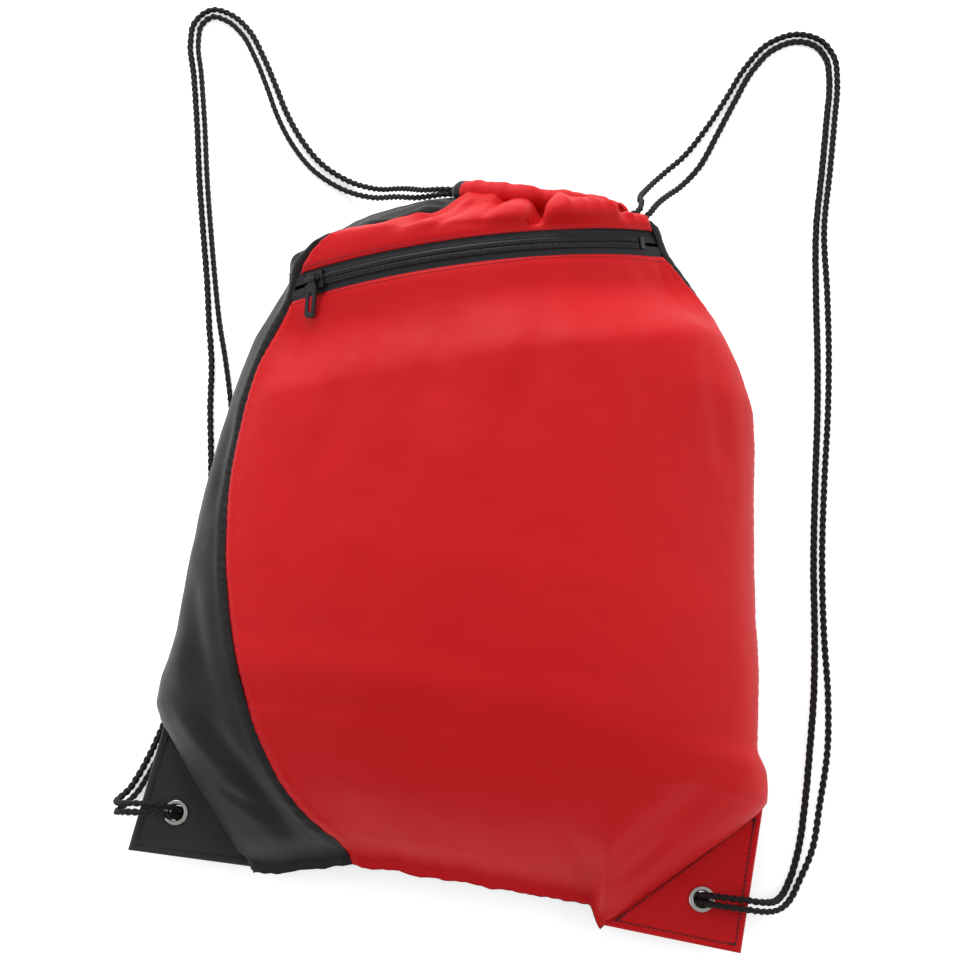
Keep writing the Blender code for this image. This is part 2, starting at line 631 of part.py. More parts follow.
def prism(loop, plane, lo, hi):
    # loop in mm drawn in one plane of the local frame and pulled along the third axis
    bm = bmesh.new()
    place = {'yz': lambda p, q: (q, p[0], p[1]), 'xz': lambda p, q: (p[0], q, p[1]),
             'xy': lambda p, q: (p[0], p[1], q)}[plane]
    face = bm.faces.new([bm.verts.new(place(p, lo)) for p in loop])
    ext = bmesh.ops.extrude_face_region(bm, geom=[face], use_keep_orig=True)
    move = place((0, 0), hi - lo)
    bmesh.ops.translate(bm, verts=[g for g in ext['geom'] if isinstance(g, bmesh.types.BMVert)], vec=move)
    bmesh.ops.recalc_face_normals(bm, faces=bm.faces)
    return bm


def localObject(name, bm, mat, frame, coll=None):
    for v in bm.verts:
        v.co = v.co * mm
    me = bpy.data.meshes.new(name)
    bm.to_mesh(me)
    bm.free()
    me.materials.append(mat)
    ob = bpy.data.objects.new(name, me)
    (coll or parts).objects.link(ob)
    ob.matrix_world = frame
    return ob


def merge(target, tool, how):
    mod = target.modifiers.new('cut', 'BOOLEAN')
    mod.operation = how
    mod.solver = 'EXACT'
    mod.object = tool
    bpy.context.view_layer.update()
    dg = bpy.context.evaluated_depsgraph_get()
    me = bpy.data.meshes.new_from_object(target.evaluated_get(dg))
    old = target.data
    target.modifiers.clear()
    target.data = me
    bpy.data.meshes.remove(old)


def slider():
    frame = arcFrame(sliderAt)
    s, under = sliderSide, -cloth - gap
    top0 = coilTop + 0.5
    top1 = top0 + plate
    low1 = under - tapeThick - gap
    low0 = low1 - 1.0
    post = coilIn - gap - 0.05
    foot = under + gap + 0.1
    half = [(0, top1), (s - 0.4, top1), (s, top1 - 0.4), (s, foot), (s - 0.7, foot), (s - 0.7, top0),
            (post, top0), (post, low1), (s - 1.4, low1), (s - 1.4, low0), (0, low0)]
    loop = half[1:-1] + [(-y, z) for y, z in half[1:-1][::-1]]
    body = localObject('zip_slider', prism(loop, 'yz', -sliderHalf, sliderHalf), steel, frame)
    arch = [(-4.0, top1 - 0.4), (4.0, top1 - 0.4), (4.0, barH + barR - 0.3), (3.6, barH + barR),
            (-3.6, barH + barR), (-4.0, barH + barR - 0.3)]
    a = localObject('arch_tool', prism(arch, 'xz', -barR, barR), steel, frame, cutters)
    merge(body, a, 'UNION')
    hole = [(-2.9, top1), (2.9, top1), (2.9, barH - barR), (-2.9, barH - barR)]
    h = localObject('arch_window', prism(hole, 'xz', -2, 2), steel, frame, cutters)
    merge(body, h, 'DIFFERENCE')
    body.data.materials.clear()
    body.data.materials.append(steel)

    # pull tab: a knuckle round the bar and a slotted plate
    hinge = frame @ Matrix.Translation((0, 0, barH * mm))
    out, bore = barR + 1.05, barR * sqrt(2) + gap
    knuckle = [(out * cos(2 * pi * k / 20), out * sin(2 * pi * k / 20)) for k in range(20)]
    tab = localObject('pull_tab', prism(knuckle, 'yz', -2.3, 2.3), steel, hinge)
    w = tabWide / 2
    plateLoop = [(-2.0, -out + 0.4), (-w, -out - 2.6), (-w, -tabLong + 1.5), (-w + 1.5, -tabLong),
                 (w - 1.5, -tabLong), (w, -tabLong + 1.5), (w, -out - 2.6), (2.0, -out + 0.4)]
    tilt = hinge @ Matrix.Rotation(radians(tabTilt), 4, 'X') @ Matrix.Rotation(radians(tabYaw) * -1, 4, 'Z')
    p = localObject('tab_plate', prism(plateLoop, 'xy', -tabThick / 2, tabThick / 2), steel, tilt, cutters)
    merge(tab, p, 'UNION')
    slot = [(-1.2, -tabLong + 3.2), (1.2, -tabLong + 3.2), (1.2, -7.0), (-1.2, -7.0)]
    q = localObject('tab_slot', prism(slot, 'xy', -3, 3), steel, tilt, cutters)
    merge(tab, q, 'DIFFERENCE')
    ring = [(bore * cos(2 * pi * k / 16), bore * sin(2 * pi * k / 16)) for k in range(16)]
    r = localObject('tab_bore', prism(ring, 'yz', -4, 4), steel, hinge, cutters)
    merge(tab, r, 'DIFFERENCE')
    tab.data.materials.clear()
    tab.data.materials.append(steel)
    for ob in (body, tab):
        bm = bmesh.new()
        bm.from_mesh(ob.data)
        bmesh.ops.remove_doubles(bm, verts=bm.verts, dist=0.00001)
        bmesh.ops.dissolve_limit(bm, angle_limit=0.01, verts=bm.verts, edges=bm.edges)
        bmesh.ops.triangulate(bm, faces=bm.faces)
        bm.to_mesh(ob.data)
        bm.free()
    # the slider's origin sits on the axis it swings about
    shift = Matrix.Translation(Vector((arcC - np.array([0, restY, 0])) * mm)) @ frame.to_3x3().to_4x4()
    body.data.transform(shift.inverted() @ body.matrix_world)
    body.matrix_world = shift
    print('slider axis', [round(float(x), 5) for x in (arcC - np.array([0, restY, 0])) * mm],
          [round(float(x), 5) for x in arcA], 'radius', round(arcR, 2),
          'travel', round(np.degrees(coilHi - sliderHalf / arcR - 0.4 / arcR - sliderAt), 2))
    print('tab axis', [round(x, 5) for x in hinge.translation], [round(frame[k][0], 5) for k in range(3)])


clearScene()
parts = bpy.data.collections.new('drawstring_backpack')
cutters = bpy.data.collections.new('cutters')
bpy.context.scene.collection.children.link(parts)
bpy.context.scene.collection.children.link(cutters)
red = material('red_nylon', (0.60, 0.012, 0.018), 0.5)
charcoal = material('charcoal_nylon', (0.030, 0.029, 0.030), 0.55)
cordMat = material('black_cord', (0.010, 0.009, 0.009), 0.8)
nickel = material('nickel', (0.62, 0.60, 0.58), 0.25, 1.0)
steel = material('black_metal', (0.02, 0.02, 0.022), 0.35, 0.8)
coilMat = material('zip_coil_black', (0.02, 0.022, 0.026), 0.4)
tapeMat = material('zip_tape_black', (0.018, 0.019, 0.022), 0.8)

build()
casings()
cords()
corners()
zipper()
slider()
for c in cutters.objects:
    c.hide_render = True
    c.display_type = 'WIRE'
print('nodes', len(parts.objects))
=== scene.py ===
from math import sin, cos, pi, radians, sqrt

import bmesh
import bpy
import numpy as np
from mathutils import Matrix, Vector, noise


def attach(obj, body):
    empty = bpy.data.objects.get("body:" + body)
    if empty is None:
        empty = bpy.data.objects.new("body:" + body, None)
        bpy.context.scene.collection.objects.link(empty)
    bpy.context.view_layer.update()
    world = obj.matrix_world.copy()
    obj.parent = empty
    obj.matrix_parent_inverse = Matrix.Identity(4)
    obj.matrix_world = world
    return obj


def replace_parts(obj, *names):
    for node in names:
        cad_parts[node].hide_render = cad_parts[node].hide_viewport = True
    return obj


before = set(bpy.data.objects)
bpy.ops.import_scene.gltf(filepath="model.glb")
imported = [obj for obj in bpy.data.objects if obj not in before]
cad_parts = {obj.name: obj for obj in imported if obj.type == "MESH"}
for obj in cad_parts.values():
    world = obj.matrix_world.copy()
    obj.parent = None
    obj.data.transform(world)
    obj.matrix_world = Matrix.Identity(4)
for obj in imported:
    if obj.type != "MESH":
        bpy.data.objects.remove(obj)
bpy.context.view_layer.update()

mm = 0.001
restY = 200.0   # the origin is this far from the hem, in mm


class Wire:
    # wraps an output socket, so that wires add and multiply like numbers
    def __init__(self, tree, socket=None):
        self.tree, self.socket = tree, socket

    def node(self, kind, settings=None, values=None, out=0):
        n = self.tree.nodes.new(kind)
        for key, value in (settings or {}).items():
            if key == 'stops':
                ramp = n.color_ramp
                while len(ramp.elements) < len(value):
                    ramp.elements.new(0.5)
                for element, (place, colour) in zip(ramp.elements, value):
                    element.position, element.color = place, colour
            else:
                setattr(n, key, value)
        for key, value in (values or {}).items():
            if isinstance(value, Wire):
                self.tree.links.new(value.socket, n.inputs[key])
            else:
                n.inputs[key].default_value = value
        return Wire(self.tree, n.outputs[out])

    def sums(self, how, other, swap=False):
        a, b = (other, self) if swap else (self, other)
        return self.node('ShaderNodeMath', {'operation': how}, {0: a, 1: b})

    def __add__(self, other): return self.sums('ADD', other)
    def __radd__(self, other): return self.sums('ADD', other, True)
    def __sub__(self, other): return self.sums('SUBTRACT', other)
    def __rsub__(self, other): return self.sums('SUBTRACT', other, True)
    def __mul__(self, other): return self.sums('MULTIPLY', other)
    def __rmul__(self, other): return self.sums('MULTIPLY', other, True)
    def __pow__(self, other): return self.sums('POWER', other)

    def mixed(self, low, high):
        # this wire as the factor between two colours
        return self.node('ShaderNodeMix', {'data_type': 'RGBA'}, {'Factor': self, 6: low, 7: high}, out=2)

    def noise(self, scale, detail=3.0, rough=0.5):
        return self.node('ShaderNodeTexNoise', None,
                         {'Vector': self, 'Scale': scale, 'Detail': detail, 'Roughness': rough})

    def wave(self, scale, axis, distort=0.0):
        return self.node('ShaderNodeTexWave', {'wave_type': 'BANDS', 'bands_direction': axis},
                         {'Vector': self, 'Scale': scale, 'Distortion': distort, 'Detail': 1.0}, out=1)


def newMaterial(name):
    m = bpy.data.materials.new(name)
    m.use_nodes = True
    tree = m.node_tree
    shader = tree.nodes['Principled BSDF']
    place = Wire(tree).node('ShaderNodeTexCoord', out=3)
    return m, tree, shader, place


def feed(tree, shader, **wires):
    names = {'colour': 'Base Color', 'rough': 'Roughness', 'metal': 'Metallic', 'normal': 'Normal'}
    for key, wire in wires.items():
        tree.links.new(wire.socket, shader.inputs[names[key]])


def bump(height, strength, distance):
    return height.node('ShaderNodeBump', None, {'Height': height, 'Strength': strength, 'Distance': distance})


def clothMaterial(name, dark, light, rough, weave, sheen, sheenTint):
    # coated plain weave: fine ribs both ways, cloudy colour
    m, tree, shader, place = newMaterial(name)
    cloud = place.noise(9.0, 4.0)
    grain = place.noise(900.0, 2.0)
    warp, weft = place.wave(weave, 'X'), place.wave(weave, 'Y')
    fine = (warp + weft) * 0.5
    tone = cloud * 0.75 + grain * 0.15 + fine * 0.10
    colour = tone.mixed((*dark, 1), (*light, 1))
    feed(tree, shader, colour=colour, rough=rough - 0.08 + cloud * 0.12 + grain * 0.06,
         normal=bump(fine * 0.7 + grain * 0.5, 0.35, 0.00012))
    shader.inputs['Sheen Weight'].default_value = sheen
    shader.inputs['Sheen Roughness'].default_value = 0.45
    shader.inputs['Sheen Tint'].default_value = (*sheenTint, 1)
    shader.inputs['Specular IOR Level'].default_value = 0.20
    return m


def cordMaterial():
    m, tree, shader, place = newMaterial('cordBlack')
    fibre = place.noise(2600.0, 3.0, 0.7)
    colour = fibre.mixed((0.003, 0.0025, 0.0025, 1), (0.016, 0.0135, 0.013, 1))
    feed(tree, shader, colour=colour, rough=0.58 + fibre * 0.25, normal=bump(fibre, 0.5, 0.0002))
    shader.inputs['Specular IOR Level'].default_value = 0.3
    return m


def tapeMaterial():
    # zip tape is a tight twill, its ribs across the arc
    m, tree, shader, place = newMaterial('zipTape')
    turned = place.node('ShaderNodeMapping', None, {'Vector': place, 'Rotation': (0, 0, 0.35)})
    rib = turned.wave(260.0, 'X')
    rows = turned.wave(160.0, 'Y')
    grain = place.noise(700.0, 2.0)
    tone = rib * 0.4 + rows * 0.3 + grain * 0.3
    colour = tone.mixed((0.005, 0.006, 0.008, 1), (0.022, 0.024, 0.030, 1))
    feed(tree, shader, colour=colour, rough=0.7 + grain * 0.15, normal=bump(tone, 0.5, 0.0002))
    return m


def plasticMaterial(name, dark, light, rough):
    m, tree, shader, place = newMaterial(name)
    grain = place.noise(1500.0, 2.0)
    feed(tree, shader, colour=grain.mixed((*dark, 1), (*light, 1)), rough=rough + grain * 0.12,
         normal=bump(grain, 0.15, 0.0001))
    return m


def metalMaterial(name, dark, light, rough, metal):
    # handled metal: cloudy polish with fine hairlines
    m, tree, shader, place = newMaterial(name)
    cloud = place.noise(180.0, 4.0)
    line = place.wave(900.0, 'DIAGONAL', 2.0)
    feed(tree, shader, colour=cloud.mixed((*dark, 1), (*light, 1)), rough=rough + cloud * 0.12 + line * 0.04,
         normal=bump(line * 0.4 + cloud * 0.6, 0.12, 0.0001))
    shader.inputs['Metallic'].default_value = metal
    return m


redCloth = clothMaterial('redNylon', (0.50, 0.0025, 0.005), (0.62, 0.005, 0.009), 0.58, 380.0, 0.03,
                         (1, 0.4, 0.35))
charcoalCloth = clothMaterial('charcoalNylon', (0.0105, 0.0095, 0.010), (0.020, 0.0185, 0.0195), 0.50,
                              380.0, 0.04,
                              (0.9, 0.88, 0.9))
patchCloth = clothMaterial('patchCharcoal', (0.022, 0.021, 0.022), (0.036, 0.034, 0.0355), 0.44, 300.0, 0.03,
                           (0.9, 0.85, 0.8))
cordBlack = cordMaterial()
zipTape = tapeMaterial()
zipTeeth = plasticMaterial('zipTeethNylon', (0.006, 0.007, 0.009), (0.022, 0.025, 0.030), 0.34)
threadBlack = plasticMaterial('threadBlack', (0.006, 0.005, 0.005), (0.020, 0.016, 0.016), 0.62)
threadRed = plasticMaterial('threadRed', (0.22, 0.004, 0.006), (0.36, 0.008, 0.012), 0.6)
nickel = metalMaterial('nickelPlate', (0.40, 0.385, 0.365), (0.66, 0.64, 0.61), 0.14, 1.0)
blackMetal = metalMaterial('blackLacquer', (0.010, 0.010, 0.012), (0.030, 0.030, 0.034), 0.30, 0.6)
print('materials ready')

# hem distance, left, right, edge height, hem sag, front rise and roundness, back drop, roundness, fill
bag = {
    'stations': np.array([
        (3,   0,    0,   16, 14, 2.0, .08, .00, .08, 1.00),
        (7,   0,    0,   16, 14, 2.0, .08, .00, .08, 1.00),
        (20,  0,    0,   16, 12, 24,  .50, .55, .60, 1.15),
        (36,  0,    0,   16, 9,  44,  .58, 1.0, .75, 1.30),
        (50,  0,    0,   16, 6,  58,  .62, 1.0, .80, 1.35),
        (74, -163,  165, 16, 2,  75,  .66, 1.0, .80, 1.35),
        (84, -167,  171, 17, 0,  81,  .68, 1.0, .80, 1.35),
        (96, -166,  169, 21, 0,  82,  .70, 1.0, .80, 1.35),
        (108, -162, 162, 27, 0,  80,  .72, 1.0, .80, 1.35),
        (125, -160, 160, 32, 0,  77,  .75, 1.0, .80, 1.35),
        (150, -160, 157, 36, 0,  76,  .78, 1.0, .80, 1.35),
        (180, -160, 152, 38, 0,  76,  .80, 1.0, .80, 1.35),
        (212, -158, 147, 38, 0,  77,  .82, 1.0, .80, 1.35),
        (256, -154, 141, 38, 0,  78,  .85, 1.0, .80, 1.35),
        (289, -149, 137, 40, 0,  76,  .86, 1.0, .80, 1.35),
        (303, -144, 131, 42, 0,  74,  .87, 1.0, .80, 1.35),
        (319, -137, 122, 45, 0,  70,  .88, 1.0, .80, 1.35),
        (345, -125, 104, 52, 0,  58,  .90, 1.0, .82, 1.30),
        (362, -109, 90,  57, 0,  45,  .93, .93, .88, 1.20),
        (376, -87,  74,  61, 0,  33,  .97, .68, .95, 1.08),
        (388.8, -45.75, 45.75, 56, 0, 24.75, 1.0, .4213, 1.0, 1.0)], float),
    'leftEar': ((-101.0, 7.0), (-163.0, 74.0), (-168.5, 3.5)),
    'rightEar': ((97.0, 7.0), (165.0, 74.0), (168.5, 3.0)),
    'hemPull': 12.0,
    'lean': -0.30,
    'seam': np.array([
        (3, -43), (11, -47), (31, -67), (53, -86), (92, -108), (135, -124), (174, -134), (209, -139),
        (238, -140), (264, -138), (290, -132), (311, -125), (334, -115), (352, -103), (365, -88),
        (373, -72), (381, -54), (388.8, -36)], float),
    'zip': ((-117, 317, 88), (-24, 342, 110), (67, 375, 68)),
    'zipHalf': 7.2,
    'mouth': (45.0, 24.0, 395.0, 56.0),
}
stations = bag['stations']
hemY, lipY = stations[0, 0], stations[-1, 0]
mouthA, mouthB, mouthY, mouthZ = bag['mouth']


def smooth(x):
    x = np.clip(x, 0.0, 1.0)
    return x * x * (3 - 2 * x)


def curveThrough(xs, ys, x):
    x = np.clip(x, xs[0], xs[-1])
    d = np.diff(ys) / np.diff(xs)
    m = np.zeros(len(xs))
    same = d[:-1] * d[1:] > 0
    m[1:-1][same] = 2 * d[:-1][same] * d[1:][same] / (d[:-1] + d[1:])[same]
    m[0], m[-1] = d[0], d[-1]
    k = np.clip(np.searchsorted(xs, x, side='right') - 1, 0, len(xs) - 2)
    w = xs[k + 1] - xs[k]
    u = (x - xs[k]) / w
    return (ys[k] * (1 + 2 * u) * (1 - u) ** 2 + m[k] * w * u * (1 - u) ** 2
            + ys[k + 1] * u * u * (3 - 2 * u) + m[k + 1] * w * u * u * (u - 1))


def column(i, v):
    return curveThrough(stations[:, 0], stations[:, i], v)


def edges(v):
    body = stations[:, 0] >= 74
    sides = []
    for i, ear in ((1, bag['leftEar']), (2, bag['rightEar'])):
        (x0, y0), (x1, y1) = ear[0], ear[1]
        upper = curveThrough(stations[body, 0], stations[body, i], v)
        sides.append(np.where(v < 74, x0 + (v - y0) * (x1 - x0) / (y1 - y0), upper))
    return sides


def arcThrough(p, q, r):
    p, q, r = (np.array(a, float) for a in (p, q, r))
    n = np.cross(r - p, q - p)
    n /= np.linalg.norm(n) * (1 if n[1] > 0 else -1)
    c = np.linalg.solve(np.array([q - p, r - p, n]),
                        np.array([(q - p) @ (q + p) / 2, (r - p) @ (r + p) / 2, n @ p]))
    return c, n, np.linalg.norm(p - c)


arcC, arcA, arcR = arcThrough(*bag['zip'])
arcUp = (np.array(bag['zip'][1], float) - arcC) / arcR
arcSide = np.cross(arcA, arcUp)
arcStart, arcEnd = (np.arctan2((np.array(p) - arcC) @ arcSide, (np.array(p) - arcC) @ arcUp)
                    for p in (bag['zip'][0], bag['zip'][2]))


def arcPoint(angle, across, lift):
    out = np.sin(angle)[..., None] * arcSide + np.cos(angle)[..., None] * arcUp
    return arcC + arcA * np.asarray(across)[..., None] + out * (arcR + np.asarray(lift))[..., None]


def towardBand(p):
    # the cloth beside the zip lies on the zip's own arc
    d = p - arcC
    h = d @ arcA
    q = d - h[..., None] * arcA
    r = np.linalg.norm(q, axis=-1)
    angle = np.arctan2(q @ arcSide, q @ arcUp)
    past = np.maximum(arcStart - angle, angle - arcEnd) * arcR
    w = ((1 - smooth((np.abs(h) - np.where(h < 0, 20.0, 14.0)) / 42)) * (1 - smooth((past - 4) / 24))
         * (1 - smooth((np.where(r > arcR, r - arcR - 12, arcR - r) - 14) / 12)))
    return p + (q / r[..., None]) * ((arcR - r) * w)[..., None]


def skin(t, v):
    t, v = np.broadcast_arrays(np.asarray(t, float), np.asarray(v, float))
    left, right = edges(v)
    mid, half = (left + right) / 2, (right - left) / 2
    c, s = np.cos(t), np.sin(t)
    rim = column(3, v) + column(4, v) * (1 - c * c)
    up = column(5, v) * np.abs(s) ** column(6, v)
    down = (2 + (rim - 2) * column(7, v)) * np.minimum(1, column(9, v) * np.abs(s) ** column(8, v))
    x = mid + half * c
    fold = np.exp(-((x - 1) / 6.0) ** 2) * smooth((v - 366) / 10) * (1 - smooth((v - 380) / 7)) * 4
    z = np.where(s >= 0, rim + up - fold * smooth(s / 0.4), rim - down)
    pull = (bag['hemPull'] * smooth((x + 96) / 60) * smooth((bag['rightEar'][0][0] - 3 - x) / 9)
            * (1 - smooth((v - 3) / 70)))
    lean = bag['lean'] * smooth((v - 335) / 50)
    return towardBand(np.stack([x, v + pull + lean * (z - mouthZ), z], -1))


def outward(t, v, dt=0.06, dv=2.0):
    a = skin(t + dt, v) - skin(t - dt, v)
    b = skin(t, np.minimum(v + dv, lipY)) - skin(t, np.maximum(v - dv, hemY))
    n = np.cross(b, a)
    return n / np.linalg.norm(n, axis=-1)[..., None]


def perMm(t, v):
    return 0.008 / np.linalg.norm(skin(t + 0.004, v) - skin(t - 0.004, v), axis=-1)


def seamAngle(v):
    left, right = edges(v)
    x = curveThrough(bag['seam'][:, 0], bag['seam'][:, 1], v)
    return np.arccos(np.clip((x - (left + right) / 2) / ((right - left) / 2), -1, 1))


def frontAngle(s, v, inset=0.12):
    a = np.maximum(inset * perMm(0.02 + 0 * v, v), 0.0004)
    t = seamAngle(v)
    b = t - inset * 2 * perMm(t, v)
    return a + (b - a) * s


def bandRow(s, across):
    # hem distance where the columns s reach that far across the zip
    lo, hi = np.full(len(s), 250.0), np.full(len(s), lipY)
    for _ in range(36):
        v = (lo + hi) / 2
        low = (skin(frontAngle(s, v), v) - arcC) @ arcA < across
        lo, hi = np.where(low, v, lo), np.where(low, hi, v)
    return (lo + hi) / 2


def cloudy(p, size, seed=0.0):
    # smooth noise at the points p, in mm, features about size across
    return np.array([noise.noise(Vector((q[0] / size + seed, q[1] / size, q[2] / size)))
                     for q in p.reshape(-1, 3)]).reshape(p.shape[:-1])


def pleats(t, v):
    # gathers run down from the mouth and die away
    grow = smooth((v - 338) / 46) ** 1.4
    ring = (np.sin(t * 17 + 1.2 * np.sin(t * 3.1)) * 0.9 + np.sin(t * 29 + 2.0 * np.sin(t * 5)) * 0.6
            + np.sin(t * 9.3 + 0.6) * 0.8)
    return ring * grow


def creaseLine(p, a, b, width, depth):
    # a soft crease from a to b, both x and hem distance, deepest in the middle
    a, b = np.array(a, float), np.array(b, float)
    d = (b - a) / np.linalg.norm(b - a)
    q = p[..., :2] - a
    along = (q @ d) / np.linalg.norm(b - a)
    off = q @ np.array([-d[1], d[0]])
    return depth * np.exp(-(off / width) ** 2) * smooth(along / 0.35) * smooth((1 - along) / 0.35)




def placed(p):
    # hem distance and mm to the shared frame
    return (np.asarray(p, float) - (0, restY, 0)) * mm


def zipNear(p, flat, fade):
    # 1 beside the zip, 0 away from it
    d = p - arcC
    h = d @ arcA
    q = d - h[..., None] * arcA
    angle = np.arctan2(q @ arcSide, q @ arcUp)
    past = np.maximum(arcStart - angle, angle - arcEnd) * arcR
    near = (1 - smooth((np.abs(h) - flat) / fade)) * (1 - smooth((past - 6) / 14))
    return near * smooth((np.linalg.norm(q, axis=-1) - arcR + 40) / 20)


drape = {
    'swell': ((1.5, 80.0, 0.0), (0.75, 30.0, 7.0), (0.22, 10.0, 3.0)),   # height, size, seed
    'gather': 0.75,
    'creases': (                                                          # from, to, width, depth
        ((-152, 92), (-62, 14), 6.0, 3.4), ((-150, 128), (-112, 58), 8.0, 2.2),
        ((-156, 160), (-128, 84), 6.0, 1.6), ((-146, 250), (-142, 180), 5.0, 1.4),
        ((-120, 44), (-86, 30), 3.0, 1.6), ((150, 96), (84, 18), 9.0, 2.4),
        ((128, 60), (96, 22), 4.0, 1.4), ((86, 22), (60, 60), 5.0, 1.2),
        ((-72, 300), (-90, 190), 7.0, 1.1), ((-30, 318), (-36, 236), 8.0, 1.0),
        ((22, 330), (14, 232), 9.0, 1.0), ((60, 340), (84, 250), 7.0, 1.1),
        ((104, 318), (128, 236), 6.0, 1.3), ((-132, 330), (-104, 366), 4.0, 1.8),
        ((-140, 296), (-118, 346), 4.5, 1.4), ((96, 346), (74, 376), 4.0, 1.6),
        ((-72, 344), (-40, 392), 4.5, 3.4), ((-52, 346), (-22, 384), 2.6, 1.8),
        ((-26, 352), (-8, 392), 3.0, 1.8),
        ((30, 362), (18, 394), 3.4, 1.6), ((58, 372), (42, 396), 3.4, 1.8)),
    'ridge': 0.45, 'ridgeAway': 1.6,         # the ridge beside each crease, and how many widths away
    'humpTall': 5.0, 'humpSplit': 5.0, 'splitWide': 5.0, 'humpReach': 50.0,
    'splitFine': 2.8, 'splitDeep': 9.0, 'lipRise': 2.6,
    'hemWave': 1.5,
}


def humps(x):
    # two big gathers at the front of the mouth, with a deep fold between them
    fold = 1 - np.exp(-((x - drape['humpSplit']) / drape['splitWide']) ** 2)
    return drape['humpTall'] * fold * smooth((drape['humpReach'] - np.abs(x - 1)) / 20)


def dressed(t, v):
    # the stuffed skin with the cloth's own swells, gathers and creases
    p, n = skin(t, v), outward(t, v)
    x = p[..., 0]
    front = smooth(np.sin(t) / 0.25)
    h = sum(a * cloudy(p, size, seed) for a, size, seed in drape['swell'])
    h = h * smooth((v - 3) / 16) * (1 - 0.7 * zipNear(p, 10, 14))
    h = h + drape['gather'] * pleats(t, v) * (1 - zipNear(p, 9, 8))
    for a, b, width, depth in drape['creases']:
        ridge = creaseLine(p + (width * drape['ridgeAway'], 0, 0), a, b, width, depth)
        line = creaseLine(p, a, b, width, depth) - drape['ridge'] * ridge
        h = h - line * front * (1 - zipNear(p, 10, 10))
    h = h + humps(x) * smooth((v - 362) / 22) * front * (1 - zipNear(p, 9, 7))
    split = np.exp(-((x - drape['humpSplit']) / drape['splitFine']) ** 2) * smooth((v - 364) / 14)
    split = split * front * (1 - zipNear(p, 8, 6))
    h = h - drape['splitDeep'] * split + drape['lipRise'] * smooth((v - 374) / 13)
    p = p + n * h[..., None]
    corner = bag['rightEar'][0][0]
    p[..., 1] += 3.0 * np.exp(-((x - corner) / 3.0) ** 2) * (1 - smooth((v - 3) / 7))
    wave = noiseAlong(x, 13.0, 2.0) + 0.6 * noiseAlong(x, 5.0, 9.0)
    p[..., 1] += drape['hemWave'] * wave * (1 - smooth((v - 3) / 26)) * smooth((120 - np.abs(x)) / 20)
    p[..., 2] = np.maximum(p[..., 2], 0.15)
    return p, n


def noiseAlong(x, size, seed):
    return cloudy(np.stack([x, 0 * x, 0 * x], -1), size, seed)


def finishMesh(bm, name, material, body='bag'):
    me = bpy.data.meshes.new(name)
    bm.to_mesh(me)
    bm.free()
    me.materials.append(material)
    me.shade_smooth()
    ob = bpy.data.objects.new(name, me)
    bpy.context.scene.collection.objects.link(ob)
    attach(ob, body)
    return ob


def gridMesh(points, outwardAt):
    # a grid of cloth laid over the points, its faces turned outwards
    columns, rows = points.shape[0] - 1, points.shape[1] - 1
    bm = bmesh.new()
    bmesh.ops.create_grid(bm, x_segments=columns, y_segments=rows, size=0.5)
    where = placed(points)
    for v in bm.verts:
        v.co = Vector(where[round((v.co.x + 0.5) * columns), round((v.co.y + 0.5) * rows)])
    bm.normal_update()
    bm.faces.ensure_lookup_table()
    mid = bm.faces[(rows // 2) * columns + columns // 2]
    if mid.normal.dot(Vector(outwardAt[columns // 2, rows // 2])) < 0:
        bmesh.ops.reverse_faces(bm, faces=bm.faces)
    return bm


def thicken(ob, thick):
    wall = ob.modifiers.new('wall', 'SOLIDIFY')
    wall.thickness = thick * mm
    wall.offset = -1
    return ob


def rowLength(p):
    # distance along each row of columns, and what is left of it
    d = np.concatenate([np.zeros((1, p.shape[1])), np.cumsum(np.linalg.norm(np.diff(p, axis=0), axis=2), 0)])
    return d, d[-1:] - d


def pressed(p, n, d, depth, width, puff=0.5):
    # a sewn edge: the cloth turns in at the seam and swells beside it, less so at the corners
    depth = depth * (0.1 + 0.9 * smooth((p[..., 1] - 72) / 22))
    h = -depth * np.exp(-(d / width) ** 2) + puff * np.exp(-((d - 2.6 * width) / (1.6 * width)) ** 2)
    pucker = 0.22 * np.sin(p[..., 1] * 1.15 + 3 * cloudy(p, 12, 5.0)) * np.exp(-(d / 7.0) ** 2)
    return p + n * (h + pucker)[..., None]


panels = {'columns': 168, 'rows': 176, 'insertColumns': 60, 'insertRows': 250, 'backColumns': 150,
          'thick': 0.9, 'seamDepth': 1.4, 'seamWidth': 1.7, 'stitchBeside': 2.2}


def packedEnds(count):
    # even steps, closer together beside both seams
    f = np.linspace(0, 1, count + 1)
    return f - 0.09 * np.sin(2 * pi * f) * 1.0


wrap = {'from': radians(-62), 'to': radians(74), 'steps': 14, 'radius': 6.7}   # the cloth round the casing


